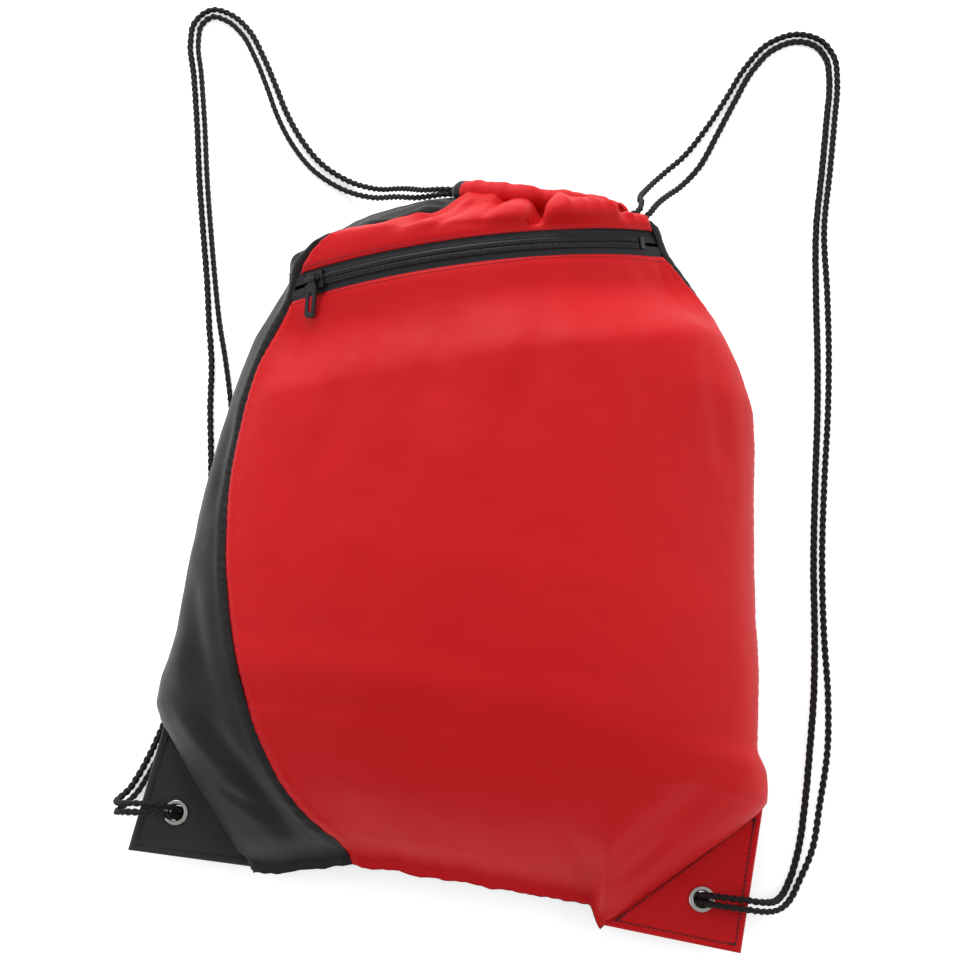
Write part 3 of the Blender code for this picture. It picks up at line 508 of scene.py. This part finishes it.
def overCasing(p, n, t):
    # the cloth runs on over the mouth's casing, and stops where the cords come out
    rows, ns = [p], [n]
    lip, angle = p[:, -1], t[:, -1]
    axis = np.array([0, 1, -bag['lean']]) / sqrt(1 + bag['lean'] ** 2)
    deg = np.degrees(angle)
    cover = 0.05 + 0.95 * smooth((deg - 16) / 13) * smooth((166 - deg) / 12)
    for b in np.linspace(wrap['from'], wrap['to'], wrap['steps']):
        at, way = np.zeros_like(lip), np.zeros_like(lip)
        for j, a in enumerate(angle):
            out = np.array([cos(a), bag['lean'] * sin(a), sin(a)])
            out /= np.linalg.norm(out)
            way[j] = out * cos(b) + axis * sin(b)
            gathers = 0.35 * np.sin(a * 17 + 1.2 * np.sin(a * 3.1)) + 0.2 * np.sin(a * 37)
            hump = humps(45 * cos(a)) * max(cos(b), 0) ** 2
            r = wrap['radius'] + gathers + hump - 0.5 * smooth((b - 0.6) / 0.6)
            at[j] = ringPoint(a) + way[j] * r
        step = (b - wrap['from']) / (wrap['to'] - wrap['from'])
        rows.append((lip + (at - lip) * (cover * (0.55 + 0.45 * smooth(step / 0.3)))[:, None])[:, None])
        ns.append(way[:, None])
    return np.concatenate(rows, 1), np.concatenate(ns, 1)


def frontPanels():
    s = packedEnds(panels['columns'])
    low, high = bandRow(s, -bag['zipHalf']), bandRow(s, bag['zipHalf'])
    made = {}
    for name, a, b, rows, node in (('pocketPanel', hemY + 0 * low, low, panels['rows'], 'pocket_panel'),
                                   ('upperPanel', high, lipY + 0 * high, 44, 'upper_panel')):
        f = np.linspace(0, 1, rows + 1)[None, :]
        v = a[:, None] + (b - a)[:, None] * f
        t = frontAngle(s[:, None] + 0 * v, v)
        p, n = dressed(t, v)
        right, left = rowLength(p)
        p = pressed(p, n, left, panels['seamDepth'], panels['seamWidth'])
        p = pressed(p, n, right, panels['seamDepth'], panels['seamWidth'])
        toZip = np.abs((p - arcC) @ arcA) - bag['zipHalf']
        p = p - n * (0.75 * (1 - smooth(toZip / 4.5)) * zipNear(p, 12, 4))[..., None]
        whole = overCasing(p, n, t) if name == 'upperPanel' else (p, n)
        ob = finishMesh(gridMesh(*whole), name, redCloth)
        thicken(ob, panels['thick'])
        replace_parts(ob, node)
        made[name] = (ob, p, n)
    return made


def sideInsert():
    f = packedEnds(panels['insertColumns'])[:, None]
    v = np.linspace(hemY, lipY, panels['insertRows'] + 1)[None, :]
    a = seamAngle(v) + 0.16 * perMm(seamAngle(v), v)
    b = pi - np.maximum(0.12 * perMm(0.02 + 0 * v, v), 0.0004)
    t = a + (b - a) * f
    v = v + 0 * t
    p, n = dressed(t, v)
    seam, side = rowLength(p)
    p = pressed(p, n, seam, panels['seamDepth'], panels['seamWidth'])
    p = pressed(p, n, side, panels['seamDepth'], panels['seamWidth'])
    ob = finishMesh(gridMesh(*overCasing(p, n, t)), 'sideInsert', charcoalCloth)
    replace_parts(thicken(ob, panels['thick']), 'side_insert')
    return ob, p, n


def backPanel():
    f = packedEnds(panels['backColumns'])[:, None]
    v = np.linspace(hemY, lipY, 201)[None, :]
    e = np.maximum(0.12 * perMm(0.02 + 0 * v, v), 0.0004)
    t = pi + e + (pi - 2 * e) * f
    v = v + 0 * t
    p, n = dressed(t, v)
    left, right = rowLength(p)
    p = pressed(p, n, left, panels['seamDepth'], panels['seamWidth'])
    p = pressed(p, n, right, panels['seamDepth'], panels['seamWidth'])
    p[..., 2] = np.maximum(p[..., 2], 0.1)
    ob = finishMesh(gridMesh(p, n), 'backPanel', charcoalCloth)
    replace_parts(thicken(ob, panels['thick']), 'back_panel')
    return ob, p, n


def pocketLining():
    s = np.linspace(0.04, 0.96, 61)
    top = bandRow(s, 12.0)
    v = 16 + (top - 16)[:, None] * np.linspace(0, 1, 91)[None, :]
    t = frontAngle(s[:, None] + 0 * v, v)
    p, n = dressed(t, v)
    h = (p - arcC) @ arcA
    dip = smooth((h + 42) / 25) * (1 - smooth((h - 9) / 6))
    p = p - n * (3.0 + 4.2 * dip)[..., None]
    ob = finishMesh(gridMesh(p, n), 'pocketLining', charcoalCloth)
    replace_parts(thicken(ob, 0.4), 'pocket_lining')
    return ob


def stitchRow(bm, line, up, pitch=2.7, long=2.0, thin=0.24, lift=0.1):
    # short rounded stitches along a line, each lying on the cloth
    far = np.concatenate([[0], np.cumsum(np.linalg.norm(np.diff(line, axis=0), axis=1))])
    for k in np.arange(0.5 * pitch, far[-1], pitch):
        at, ahead, behind = (np.array([np.interp(k + o, far, line[:, i]) for i in range(3)])
                             for o in (0, long / 2, -long / 2))
        normal = Vector([np.interp(k, far, up[:, i]) for i in range(3)]).normalized()
        along = Vector(ahead - behind).normalized()
        side = normal.cross(along).normalized()
        turn = Matrix((along, side, along.cross(side))).transposed().to_4x4()
        size = Matrix.Diagonal((long / 2 * mm, thin * 1.2 * mm, thin * mm, 1))
        place = Matrix.Translation(Vector(placed(at)) + normal * lift * mm)
        bmesh.ops.create_uvsphere(bm, u_segments=6, v_segments=5, radius=1,
                                  matrix=place @ turn @ Matrix.Rotation(pi / 2, 4, 'Z')
                                  @ Matrix.Diagonal((size[1][1], size[0][0], size[2][2], 1)))


def lineBeside(p, n, distance, fromStart):
    # the line that runs that far from a panel's first or last column
    a, b = rowLength(p)
    d = a if fromStart else b
    rows = p.shape[1]
    out, up = np.zeros((rows, 3)), np.zeros((rows, 3))
    for j in range(rows):
        col = d[:, j] if fromStart else d[::-1, j]
        q, m = (p[:, j], n[:, j]) if fromStart else (p[::-1, j], n[::-1, j])
        for i in range(3):
            out[j, i] = np.interp(distance, col, q[:, i])
            up[j, i] = np.interp(distance, col, m[:, i])
    return out, up


cord = {
    'diameter': 3.8,
    'strandRadius': 1.08,
    'pitch': 12.5,
    'floor': 2.0,
    'left': [
        (-57, 397, 52, 3.2), (-70, 399, 41, 2.6), (-86, 404, 26, 2.6), (-104, 408, 11, 3),
        (-123, 414, 3, 3.2),
        (-143, 424, 2, 3.2), (-159, 439, 2, 3.2), (-171, 455, 2, 3), (-182, 474, 2, 2.7), (-193, 492, 2, 2.5),
        (-206, 509, 2, 2.5), (-218, 517, 2, 2.5), (-229, 518.5, 2, 2.5), (-236, 511, 2, 2.5),
        (-236, 497, 2, 2.5), (-230, 477, 2, 2.4), (-221, 444, 2, 2.4), (-211, 404, 2, 2.4),
        (-201, 368, 2, 2.4), (-193, 340, 2, 2.5), (-186, 315, 2, 3.2), (-179, 293, 2, 4.2),
        (-172, 265, 2, 6.2), (-165, 235, 2, 6.6),
        (-160, 200, 2, 4.6), (-157, 165, 2, 3), (-157, 130, 2, 2.4), (-161, 95, 2, 2.4), (-166, 68, 2, 2.4),
        (-171.5, 48, 2, 2.4), (-176, 36, 3.2, 2.4), (-179.5, 29, 8.5, 2.4), (-179.5, 25.5, 16, 2.4),
        (-174, 25.5, 22.5, 2.4), (-165, 26.5, 25, 2.4), (-156, 27.3, 25.3, 2.3), (-149.8, 27.5, 23.6, 2.2),
        (-146.5, 27.5, 19.6, 2.1), (-146, 27.5, 16, 2.1), (-146, 27.5, 13.3, 2.1)],
    'right': [
        (50, 393.2, 56, 4.2), (55, 395.2, 55, 4.2), (59, 403, 47, 4.4), (61, 415, 34, 5.2), (66, 429, 19, 6),
        (73, 442, 8.5, 6.6), (82, 457, 3, 5.8), (92, 480, 2, 3.8), (100, 501, 2, 2.8), (109, 524, 2, 2.4),
        (120, 540, 2, 2.5), (136, 548, 2, 2.5), (148, 546, 2, 2.5), (157, 536, 2, 2.5), (160, 523, 2, 2.4),
        (161.5, 495, 2, 2.4), (162.5, 464, 2, 2.4), (163.5, 424, 2, 2.4), (169, 384, 2, 3.3),
        (174, 348, 2, 3.3), (178, 311, 2, 3), (181, 271, 2, 2.6), (186, 218, 2, 2.4), (191, 182, 2, 2.6),
        (196, 146, 2, 4), (198, 118, 2, 4.8), (198, 88, 2, 4), (197, 63, 2, 3.6), (193.5, 47, 2, 2.5),
        (190, 37, 5, 2.4), (185, 31, 12, 2.4), (177, 28.5, 20, 2.4), (167, 28, 24.5, 2.4),
        (156, 27.6, 25.3, 2.3), (148.6, 27.5, 23.6, 2.2), (145, 27.5, 19.6, 2.1), (144.5, 27.5, 16, 2.1),
        (144.5, 27.5, 13.3, 2.1)],
}


def curveLine(control, step):
    # even steps along a smooth line through the control rows
    c = np.asarray(control, float)
    pts = []
    for i in range(len(c) - 1):
        a, b = c[max(i - 1, 0)], c[min(i + 2, len(c) - 1)]
        p, q = c[i], c[i + 1]
        w = np.linalg.norm((q - p)[:3])
        wa = max(np.linalg.norm((p - a)[:3]), 1e-6)
        wb = max(np.linalg.norm((b - q)[:3]), 1e-6)
        m0 = ((q - p) / w * wa + (p - a) / wa * w) / (wa + w) if i > 0 else (q - p) / w
        m1 = ((b - q) / wb * w + (q - p) / w * wb) / (wb + w) if i < len(c) - 2 else (q - p) / w
        for u in np.linspace(0, 1, 25)[:-1]:
            pts.append(p * (1 + 2 * u) * (1 - u) ** 2 + m0 * w * u * (1 - u) ** 2
                       + q * u * u * (3 - 2 * u) + m1 * w * u * u * (u - 1))
    pts.append(c[-1])
    return evenly(np.array(pts), step)


def evenly(pts, step):
    far = np.concatenate([[0], np.cumsum(np.linalg.norm(np.diff(pts[:, :3], axis=0), axis=1))])
    at = np.linspace(0, far[-1], max(2, int(round(far[-1] / step)) + 1))
    return np.stack([np.interp(at, far, pts[:, i]) for i in range(pts.shape[1])], 1)


def ringPoint(angle, side=0.0, out=0.0):
    # on the mouth's ring, moved across it by side
    n = np.array([0, 1, -bag['lean']]) / sqrt(1 + bag['lean'] ** 2)
    s = sin(angle)
    return np.array([(mouthA + out) * cos(angle), mouthY + bag['lean'] * (mouthB + out) * s,
                     mouthZ + (mouthB + out) * s]) + n * side


def pairOf(route, hand):
    # the two runs of a doubled cord, either side of its middle line
    line = curveLine(route, 1.5)
    p, g = line[:, :3], line[:, 3]
    d = np.gradient(p, axis=0)
    d /= np.linalg.norm(d, axis=1)[:, None]
    far = np.concatenate([[0], np.cumsum(np.linalg.norm(np.diff(p, axis=0), axis=1))])
    side = np.stack([d[:, 1], -d[:, 0], np.zeros(len(d))], 1) * hand
    side /= np.maximum(np.linalg.norm(side, axis=1), 1e-6)[:, None]
    a = 1 - smooth(far / 55)
    b = smooth((far - (far[-1] - 62)) / 22)
    way = side * ((1 - a) * (1 - b))[:, None] + np.array([0, 0, 1]) * a[:, None]
    way = way + np.array([0, 1.0, 0]) * hand * b[:, None]
    way = way - d * np.sum(way * d, axis=1)[:, None]
    way /= np.linalg.norm(way, axis=1)[:, None]
    return p + way * g[:, None], p - way * g[:, None]


def cordPath(name):
    # from the eyelet up to the mouth, round inside the casing, and back to the eyelet
    hand, start, turn = (1, pi, -1) if name == 'left' else (-1, 0.0, 1)
    one, two = pairOf(cord[name], hand)
    side = 2.15 * hand
    inA = [ringPoint(start + turn * radians(k), side) for k in (22, 30, 42, 60, 80, 100, 120, 142)]
    inB = [ringPoint(start - turn * radians(k), side) for k in
           (214, 200, 186, 170, 150, 130, 110, 90, 70, 50, 34, 22)]
    whole = np.concatenate([one[::-1][:-1:3], np.array(inA), np.array(inB), two[:-1:3], two[-1:]])
    return curveLine(whole, 0.8)


def alongFrame(path):
    # two directions square to the path that never twist sharply
    d = np.gradient(path, axis=0)
    d /= np.linalg.norm(d, axis=1)[:, None]
    side = np.zeros_like(d)
    side[0] = np.cross(d[0], (0.3, 0.9, 0.1))
    side[0] /= np.linalg.norm(side[0])
    for i in range(1, len(d)):
        s = side[i - 1] - d[i] * (side[i - 1] @ d[i])
        side[i] = s / np.linalg.norm(s)
    return side, np.cross(d, side)


def tubes(name, lines, radius, material, sides=1):
    # round strands, one for each line, as one mesh
    curve = bpy.data.curves.new(name + 'Line', 'CURVE')
    curve.dimensions = '3D'
    for line in lines:
        spline = curve.splines.new('POLY')
        spline.points.add(len(line) - 1)
        for point, p in zip(spline.points, placed(line)):
            point.co = (*p, 1)
    curve.bevel_depth = radius * mm
    curve.bevel_resolution = sides
    curve.use_fill_caps = True
    holder = bpy.data.objects.new(name + 'Line', curve)
    bpy.context.scene.collection.objects.link(holder)
    graph = bpy.context.evaluated_depsgraph_get()
    me = bpy.data.meshes.new_from_object(holder.evaluated_get(graph))
    bpy.data.objects.remove(holder, do_unlink=True)
    bm = bmesh.new()
    bm.from_mesh(me)
    bpy.data.meshes.remove(me)
    bmesh.ops.remove_doubles(bm, verts=bm.verts, dist=1e-6)
    bmesh.ops.recalc_face_normals(bm, faces=bm.faces)
    return finishMesh(bm, name, material)


def plaited(name, path):
    # three strands cross over and under each other round the cord's middle
    side, up = alongFrame(path)
    far = np.arange(len(path)) * np.linalg.norm(path[1] - path[0])
    lines = []
    for k in range(3):
        turn = 2 * pi * (far / cord['pitch'] + k / 3)
        lines.append(path + side * (1.0 * np.sin(turn))[:, None] + up * (0.66 * np.sin(2 * turn))[:, None])
    return tubes(name, lines, cord['strandRadius'], cordBlack)


def knot(name, eye):
    # an overhand knot in the doubled cord, drawn tight behind the corner
    u = np.linspace(0, 2 * pi, 121)
    ring = np.stack([(np.sin(u) + 2 * np.sin(2 * u)), (np.cos(u) - 2 * np.cos(2 * u)), -np.sin(3 * u)], 1)
    centre = np.array([eye[0], eye[1], 6.3])
    lines = [centre + ring * (1.45, 1.35, 2.6) + (o, -o, 0.5 * o) for o in (-0.55, 0.55)]
    return tubes(name, lines, 1.15, cordBlack, 2)


def cords():
    for name, eye in (('left', (-146.0, 27.5)), ('right', (144.5, 27.5))):
        path = cordPath(name)
        title = name.capitalize()
        ob = plaited('drawCord' + title, path)
        tie = knot('cordKnot' + title, eye)
        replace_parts(ob, 'cord_%s_a' % name, 'cord_%s_b' % name)
        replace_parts(tie, 'knot_%s' % name)


eyelets = {'left': (-146.0, 27.5), 'right': (144.5, 27.5), 'ear': 16.0,
           'hole': 4.5, 'barrel': 5.1, 'flange': 7.0, 'stack': 1.55}


def eyelet(name):
    # a rolled nickel eyelet, turned from its wall's outline
    top, low = eyelets['stack'], -eyelets['stack']
    hole, barrel, flange = eyelets['hole'], eyelets['barrel'], eyelets['flange']
    roll = [(hole + 0.55 - 0.55 * cos(a), top + 0.35 + 0.6 * sin(a)) for a in np.linspace(0, pi / 2, 7)]
    brim = [(flange - 0.75 + 0.75 * sin(a), top + 0.2 + 0.75 * cos(a)) for a in np.linspace(0.1, pi / 2, 7)]
    outline = roll + brim + [(flange, top + 0.02), (barrel, top + 0.02), (barrel, low - 1.05),
                             (barrel + 0.8, low - 1.1), (barrel + 0.85, low - 1.55),
                             (barrel + 0.3, low - 1.72), (hole + 0.3, low - 1.72), (hole, low - 1.4)]
    bm = bmesh.new()
    ring = [bm.verts.new((r * mm, 0, z * mm)) for r, z in outline]
    for i, v in enumerate(ring):
        bm.edges.new((v, ring[(i + 1) % len(ring)]))
    bmesh.ops.spin(bm, geom=bm.verts[:] + bm.edges[:], cent=(0, 0, 0), axis=(0, 0, 1), angle=2 * pi, steps=56,
                   use_merge=True)
    bmesh.ops.remove_doubles(bm, verts=bm.verts, dist=1e-6)
    bmesh.ops.recalc_face_normals(bm, faces=bm.faces)
    x, y = eyelets[name]
    bmesh.ops.translate(bm, verts=bm.verts, vec=placed((x, y, eyelets['ear'])))
    ob = finishMesh(bm, 'eyelet' + name.capitalize(), nickel)
    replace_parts(ob, 'eyelet_' + name)


patches = {
    'left': {'inner': (-101, 7), 'top': (-163, 74), 'tip': (-168.5, 3.5), 'front': patchCloth},
    'right': {'inner': (97, 7), 'top': (171, 80), 'tip': (168.5, 3.0), 'front': redCloth},
    'thick': 1.1, 'cells': 64, 'clear': -1.2, 'stitchInset': (2.4, 3.6, 3.6), 'threadThin': 0.34,
}


def patchCorners(name):
    # the corner triangle, a little clear of the stuffed body
    side = patches[name]
    a, b, tip = (np.array(side[k], float) for k in ('inner', 'top', 'tip'))
    along = (b - a) / np.linalg.norm(b - a)
    out = np.array([along[1], -along[0]]) * (1 if name == 'right' else -1)
    return a - along * 3.0 + out * patches['clear'], b + along * 0.8 + out * patches['clear'], tip


def patchPoint(name, u, w):
    a, b, tip = patchCorners(name)
    m = (a + b) / 2
    u, w = np.asarray(u)[..., None], np.asarray(w)[..., None]
    return (1 - u) * (1 - w) * tip + u * (1 - w) * a + (1 - u) * w * b + u * w * m


def patch(name, layer):
    # layer 1 is the front cloth, -1 the back one
    cells = patches['cells']
    f = np.linspace(0, 1, cells + 1)
    f = f - 0.05 * np.sin(2 * pi * f)
    u, w = np.meshgrid(f, f, indexing='ij')
    xy = patchPoint(name, u, w)
    rim = np.minimum(u, w) * 60
    eye = np.array(eyelets[name])
    near = np.linalg.norm(xy - eye, axis=-1)
    z = (eyelets['ear'] + layer * (eyelets['stack'] - 0.3)
         - layer * 0.45 * smooth((near - 9) / 8) * smooth(rim / 7)
         + 0.35 * cloudy(np.concatenate([xy, 0 * xy[..., :1]], -1), 14, 4.0 + layer) * smooth((near - 8) / 8)
         - layer * 0.9 * (1 - smooth(rim / 1.2)))
    p = np.concatenate([xy, z[..., None]], -1)
    n = np.zeros_like(p)
    n[..., 2] = layer
    bm = gridMesh(p, n)
    hole = eyelets['barrel'] + 0.25
    centre = Vector(placed((*eye, 0)))
    gone = [f for f in bm.faces if (f.calc_center_median() - centre).xy.length < hole * mm]
    bmesh.ops.delete(bm, geom=gone, context='FACES')
    for v in bm.verts:
        if v.is_boundary and (v.co - centre).xy.length < (hole + 2.5) * mm:
            d = (v.co - centre).xy.normalized() * hole * mm
            v.co.x, v.co.y = centre.x + d.x, centre.y + d.y
    front = layer > 0
    material = patches[name]['front'] if front else patchCloth
    ob = finishMesh(bm, 'patch%s%s' % (name.capitalize(), 'Front' if front else 'Back'), material)
    thicken(ob, 0.9)
    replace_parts(ob, 'patch_%s_%s' % (name, 'front' if front else 'back'))
    return ob


def insetTriangle(corners, inset):
    # the triangle inside this one, each side moved in by its own distance
    middle = sum(corners) / 3
    lines = []
    for i in range(3):
        p, q = corners[i], corners[(i + 1) % 3]
        n = np.array([q[1] - p[1], p[0] - q[0]]) / np.linalg.norm(q - p)
        n = n if n @ (middle - p) > 0 else -n
        lines.append((n, n @ p + inset[i]))
    return [np.linalg.solve(np.array([lines[i - 1][0], lines[i][0]]),
                            np.array([lines[i - 1][1], lines[i][1]]))
            for i in range(3)]


def patchStitches(name):
    # a sewn triangle inside the patch's edges, backstitched where its lines meet
    a, b, tip = patchCorners(name)
    corners = insetTriangle((a, b, tip), patches['stitchInset'])
    bm = bmesh.new()
    z = eyelets['ear'] + eyelets['stack'] - 0.3 - 0.1
    for i in range(3):
        p, q = corners[i], corners[(i + 1) % 3]
        line = np.array([(*(p + (q - p) * k), z) for k in np.linspace(0, 1, 60)])
        up = np.tile((0, 0, 1.0), (60, 1))
        stitchRow(bm, line, up, pitch=2.5, long=2.1, thin=patches['threadThin'])
        knotLine = line[:5]
        stitchRow(bm, knotLine + (0.3, 0.2, 0.25), up[:5], pitch=1.3, long=1.6, thin=0.42)
    return finishMesh(bm, 'patchStitches' + name.capitalize(), threadBlack)


zipParts = {'pitch': 1.32, 'toothLong': 3.1, 'toothWide': 0.86, 'toothHigh': 0.85, 'under': -1.8,
            'coilTop': 0.4, 'coilIn': 0.25, 'tapeIn': 1.0, 'tapeReach': 9.6, 'tapeThick': 0.7,
            'pastStart': 11.5, 'pastEnd': 9.5}   # how far the tapes run on under the seams at each end
coilLo, coilHi = arcStart + 3.2 / arcR, arcEnd - 8.0 / arcR


def zipTapes():
    lo, hi = arcStart - zipParts['pastStart'] / arcR, arcEnd + zipParts['pastEnd'] / arcR
    for name, k in (('Upper', 1), ('Lower', -1)):
        across = np.linspace(zipParts['tapeIn'], zipParts['tapeReach'], 25)[:, None]
        angle = np.linspace(lo, hi, 201)[None, :]
        ribs = 0.10 * np.cos(across * 2 * pi / 1.7) * smooth((across - 3) / 1)
        bead = 0.35 * np.exp(-((across - 4.1) / 0.45) ** 2)
        lift = zipParts['under'] - 0.02 + ribs + bead + 0.04 * np.sin(angle * arcR * 2.1) + 0 * across
        angle = angle + 0 * across
        p = arcPoint(angle, k * across + 0 * angle, lift)
        n = p - arcC - ((p - arcC) @ arcA)[..., None] * arcA
        ob = finishMesh(gridMesh(p, n), 'zipTape' + name, zipTape)
        thicken(ob, zipParts['tapeThick'])
        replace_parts(ob, 'zip_tape_' + name.lower())


def zipCoils():
    # one rounded tooth is repeated along each side, the two sides half a step apart
    count = int((coilHi - coilLo) * arcR / zipParts['pitch'])
    for name, k in (('Upper', 1), ('Lower', -1)):
        bm = bmesh.new()
        for i in range(count):
            angle = coilLo + (i + (0.5 if k > 0 else 0.0) + 0.25) * zipParts['pitch'] / arcR
            out = np.sin(angle) * arcSide + np.cos(angle) * arcUp
            along = np.cos(angle) * arcSide - np.sin(angle) * arcUp
            slant = along + k * 0.10 * arcA
            across = arcA * k - along * 0.10
            aside = k * (zipParts['coilIn'] - 0.35 + zipParts['toothLong'] / 2)
            at = placed(arcPoint(np.array(angle), np.array(aside), np.array(-0.45)))
            turn = Matrix([slant, across, out]).transposed().to_4x4()
            size = Matrix.Diagonal((zipParts['toothWide'] / 2 * mm, zipParts['toothLong'] / 2 * mm,
                                    zipParts['toothHigh'] * mm, 1))
            bmesh.ops.create_uvsphere(bm, u_segments=8, v_segments=6, radius=1,
                                      matrix=Matrix.Translation(Vector(at)) @ turn @ size)
        bmesh.ops.recalc_face_normals(bm, faces=bm.faces)
        base = coilBase(k)
        bm.from_mesh(base)
        bpy.data.meshes.remove(base)
        ob = finishMesh(bm, 'zipCoil' + name, zipTeeth)
        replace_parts(ob, 'zip_coil_' + name.lower())


def coilBase(k):
    # the woven core that the teeth are sewn over
    bm = bmesh.new()
    section = [(k * 0.12, -1.5), (k * 3.1, -1.5), (k * 3.1, -0.75), (k * 2.6, -0.45), (k * 0.5, -0.45),
               (k * 0.12, -0.7)]
    first = [bm.verts.new(Vector(placed(arcPoint(np.array(coilLo), np.array(h), np.array(l)))))
             for h, l in section]
    face = bm.faces.new(first)
    bmesh.ops.spin(bm, geom=[face] + list(face.edges) + list(face.verts), cent=Vector(placed(arcC)),
                   axis=Vector(arcA), angle=coilHi - coilLo, steps=90, use_duplicate=False)
    bmesh.ops.recalc_face_normals(bm, faces=bm.faces)
    me = bpy.data.meshes.new('coilBase')
    bm.to_mesh(me)
    bm.free()
    return me


def refined(name, node, material, body, width, angle=30):
    # a copy of the fixed part with its edges rounded
    bm = bmesh.new()
    bm.from_mesh(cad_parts[node].data)
    bmesh.ops.remove_doubles(bm, verts=bm.verts, dist=2e-6)
    bmesh.ops.dissolve_limit(bm, angle_limit=radians(2), verts=bm.verts, edges=bm.edges)
    ob = finishMesh(bm, name, material, body)
    mod = ob.modifiers.new('edges', 'BEVEL')
    mod.width, mod.segments, mod.limit_method, mod.angle_limit = width * mm, 2, 'ANGLE', radians(angle)
    mod.harden_normals = True
    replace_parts(ob, node)
    return ob


casing = {'inner': 4.75, 'thick': 0.9, 'gathers': 13, 'deep': 0.55, 'ripple': 0.40, 'fineRipple': 0.10}


def casingTube(name, low, high, material, node):
    # the mouth's hem, a gathered channel for the cords
    around = np.linspace(0, 2 * pi, 49)
    along = np.radians(np.linspace(low, high, 221))
    p = np.zeros((len(around), len(along), 3))
    n = np.zeros_like(p)
    axis = np.array([0, 1, -bag['lean']]) / sqrt(1 + bag['lean'] ** 2)
    front = 1 if high > 0 else -1
    for j, a in enumerate(along):
        c = ringPoint(a)
        out = np.array([cos(a), bag['lean'] * sin(a), sin(a)])
        out /= np.linalg.norm(out)
        x = c[0]
        hump = humps(x) if front > 0 else 0
        for i, b in enumerate(around):
            way = out * cos(b) + axis * sin(b)
            ripple = (np.sin(a * casing['gathers'] + 1.7 * np.sin(a * 5) + 0.9 * np.sin(b)) * casing['ripple']
                      + np.sin(a * 47 + 2 * np.cos(b)) * casing['fineRipple'])
            grow = max(cos(b), 0) ** 2
            r = casing['inner'] + casing['thick'] + casing['deep'] * (0.55 + 0.45 * ripple) + hump * grow
            p[i, j] = c + way * r
            n[i, j] = way
    ob = finishMesh(gridMesh(p, n), name, material)
    thicken(ob, casing['thick'] - 0.3)
    weld = ob.modifiers.new('close', 'WELD')
    weld.merge_threshold = 0.00001
    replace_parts(ob, node)
    return ob


def keepNode(node, material):
    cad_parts[node].material_slots[0].material = material


def studio():
    floorMesh = bpy.data.meshes.new('studioFloor')
    bm = bmesh.new()
    bmesh.ops.create_grid(bm, x_segments=1, y_segments=1, size=60.0)
    bm.to_mesh(floorMesh)
    bm.free()
    floor = bpy.data.objects.new('studioFloor', floorMesh)
    bpy.context.scene.collection.objects.link(floor)
    m = bpy.data.materials.new('paperWhite')
    m.use_nodes = True
    shader = m.node_tree.nodes['Principled BSDF']
    shader.inputs['Base Color'].default_value = (0.93, 0.93, 0.93, 1)
    shader.inputs['Roughness'].default_value = 0.9
    shader.inputs['Emission Color'].default_value = (1, 1, 1, 1)
    shader.inputs['Emission Strength'].default_value = light['floor']
    floorMesh.materials.append(m)
    world = bpy.data.worlds.new('studio')
    world.use_nodes = True
    world.node_tree.nodes['Background'].inputs[0].default_value = (1, 1, 1, 1)
    world.node_tree.nodes['Background'].inputs[1].default_value = light['world']
    bpy.context.scene.world = world
    bpy.context.scene.view_settings.view_transform = 'Standard'
    for name, at, size, power in light['boxes']:
        lamp = bpy.data.lights.new(name, 'AREA')
        lamp.shape = 'DISK'
        lamp.size = size
        lamp.energy = power
        ob = bpy.data.objects.new(name, lamp)
        facing = (Vector((0, 0, 0.05)) - Vector(at)).to_track_quat('-Z', 'Y')
        ob.matrix_world = Matrix.Translation(at) @ facing.to_matrix().to_4x4()
        bpy.context.scene.collection.objects.link(ob)


light = {
    'world': 0.50,
    'floor': 0.55,
    'boxes': (('keyBox', (-0.50, 1.55, 0.90), 1.2, 27.0), ('sideBox', (-1.1, -0.4, 0.9), 1.0, 3.5),
              ('fillBox', (1.15, 0.25, 0.9), 1.0, 4.5)),
}


def camera():
    cam = bpy.data.cameras.new('camera')
    cam.lens, cam.sensor_width = 67.84, 36.0
    ob = bpy.data.objects.new('camera', cam)
    ob.matrix_world = (Matrix.Translation((0.096, -0.213, 1.015)) @ Matrix.Rotation(radians(6.1), 4, 'Y')
                       @ Matrix.Rotation(radians(14.1), 4, 'X') @ Matrix.Rotation(radians(9.6), 4, 'Z'))
    bpy.context.scene.collection.objects.link(ob)
    bpy.context.scene.camera = ob


camera()
studio()
cords()
for side in ('left', 'right'):
    eyelet(side)
    patch(side, 1)
    patch(side, -1)
    patchStitches(side)
    keepNode('washer_' + side, nickel)
print('corners done')
front = frontPanels()
insert, insertP, insertN = sideInsert()
backPanel()
pocketLining()
print('panels done')
casingTube('frontCasing', 24, 156, redCloth, 'front_casing')
casingTube('backCasing', -156, -24, charcoalCloth, 'back_casing')
zipTapes()
zipCoils()
for node in ('zip_stop_upper', 'zip_stop_lower', 'zip_stop_end'):
    keepNode(node, zipTeeth)
refined('zipSlider', 'zip_slider', blackMetal, 'slider', 0.22)
refined('pullTab', 'pull_tab', blackMetal, 'tab', 0.22)
print('zip done')


def sewing():
    bm = bmesh.new()
    line, up = lineBeside(insertP, insertN, panels['stitchBeside'], True)
    stitchRow(bm, line[4:-4], up[4:-4])
    finishMesh(bm, 'seamStitches', threadBlack)
    bm = bmesh.new()
    for name, row in (('pocketPanel', -2), ('upperPanel', 2)):
        _, p, n = front[name]
        line, up = p[::-1, row], n[::-1, row]
        stitchRow(bm, line[3:-3], up[3:-3], pitch=2.6)
    finishMesh(bm, 'zipStitches', threadRed)


sewing()
print('sewing done')
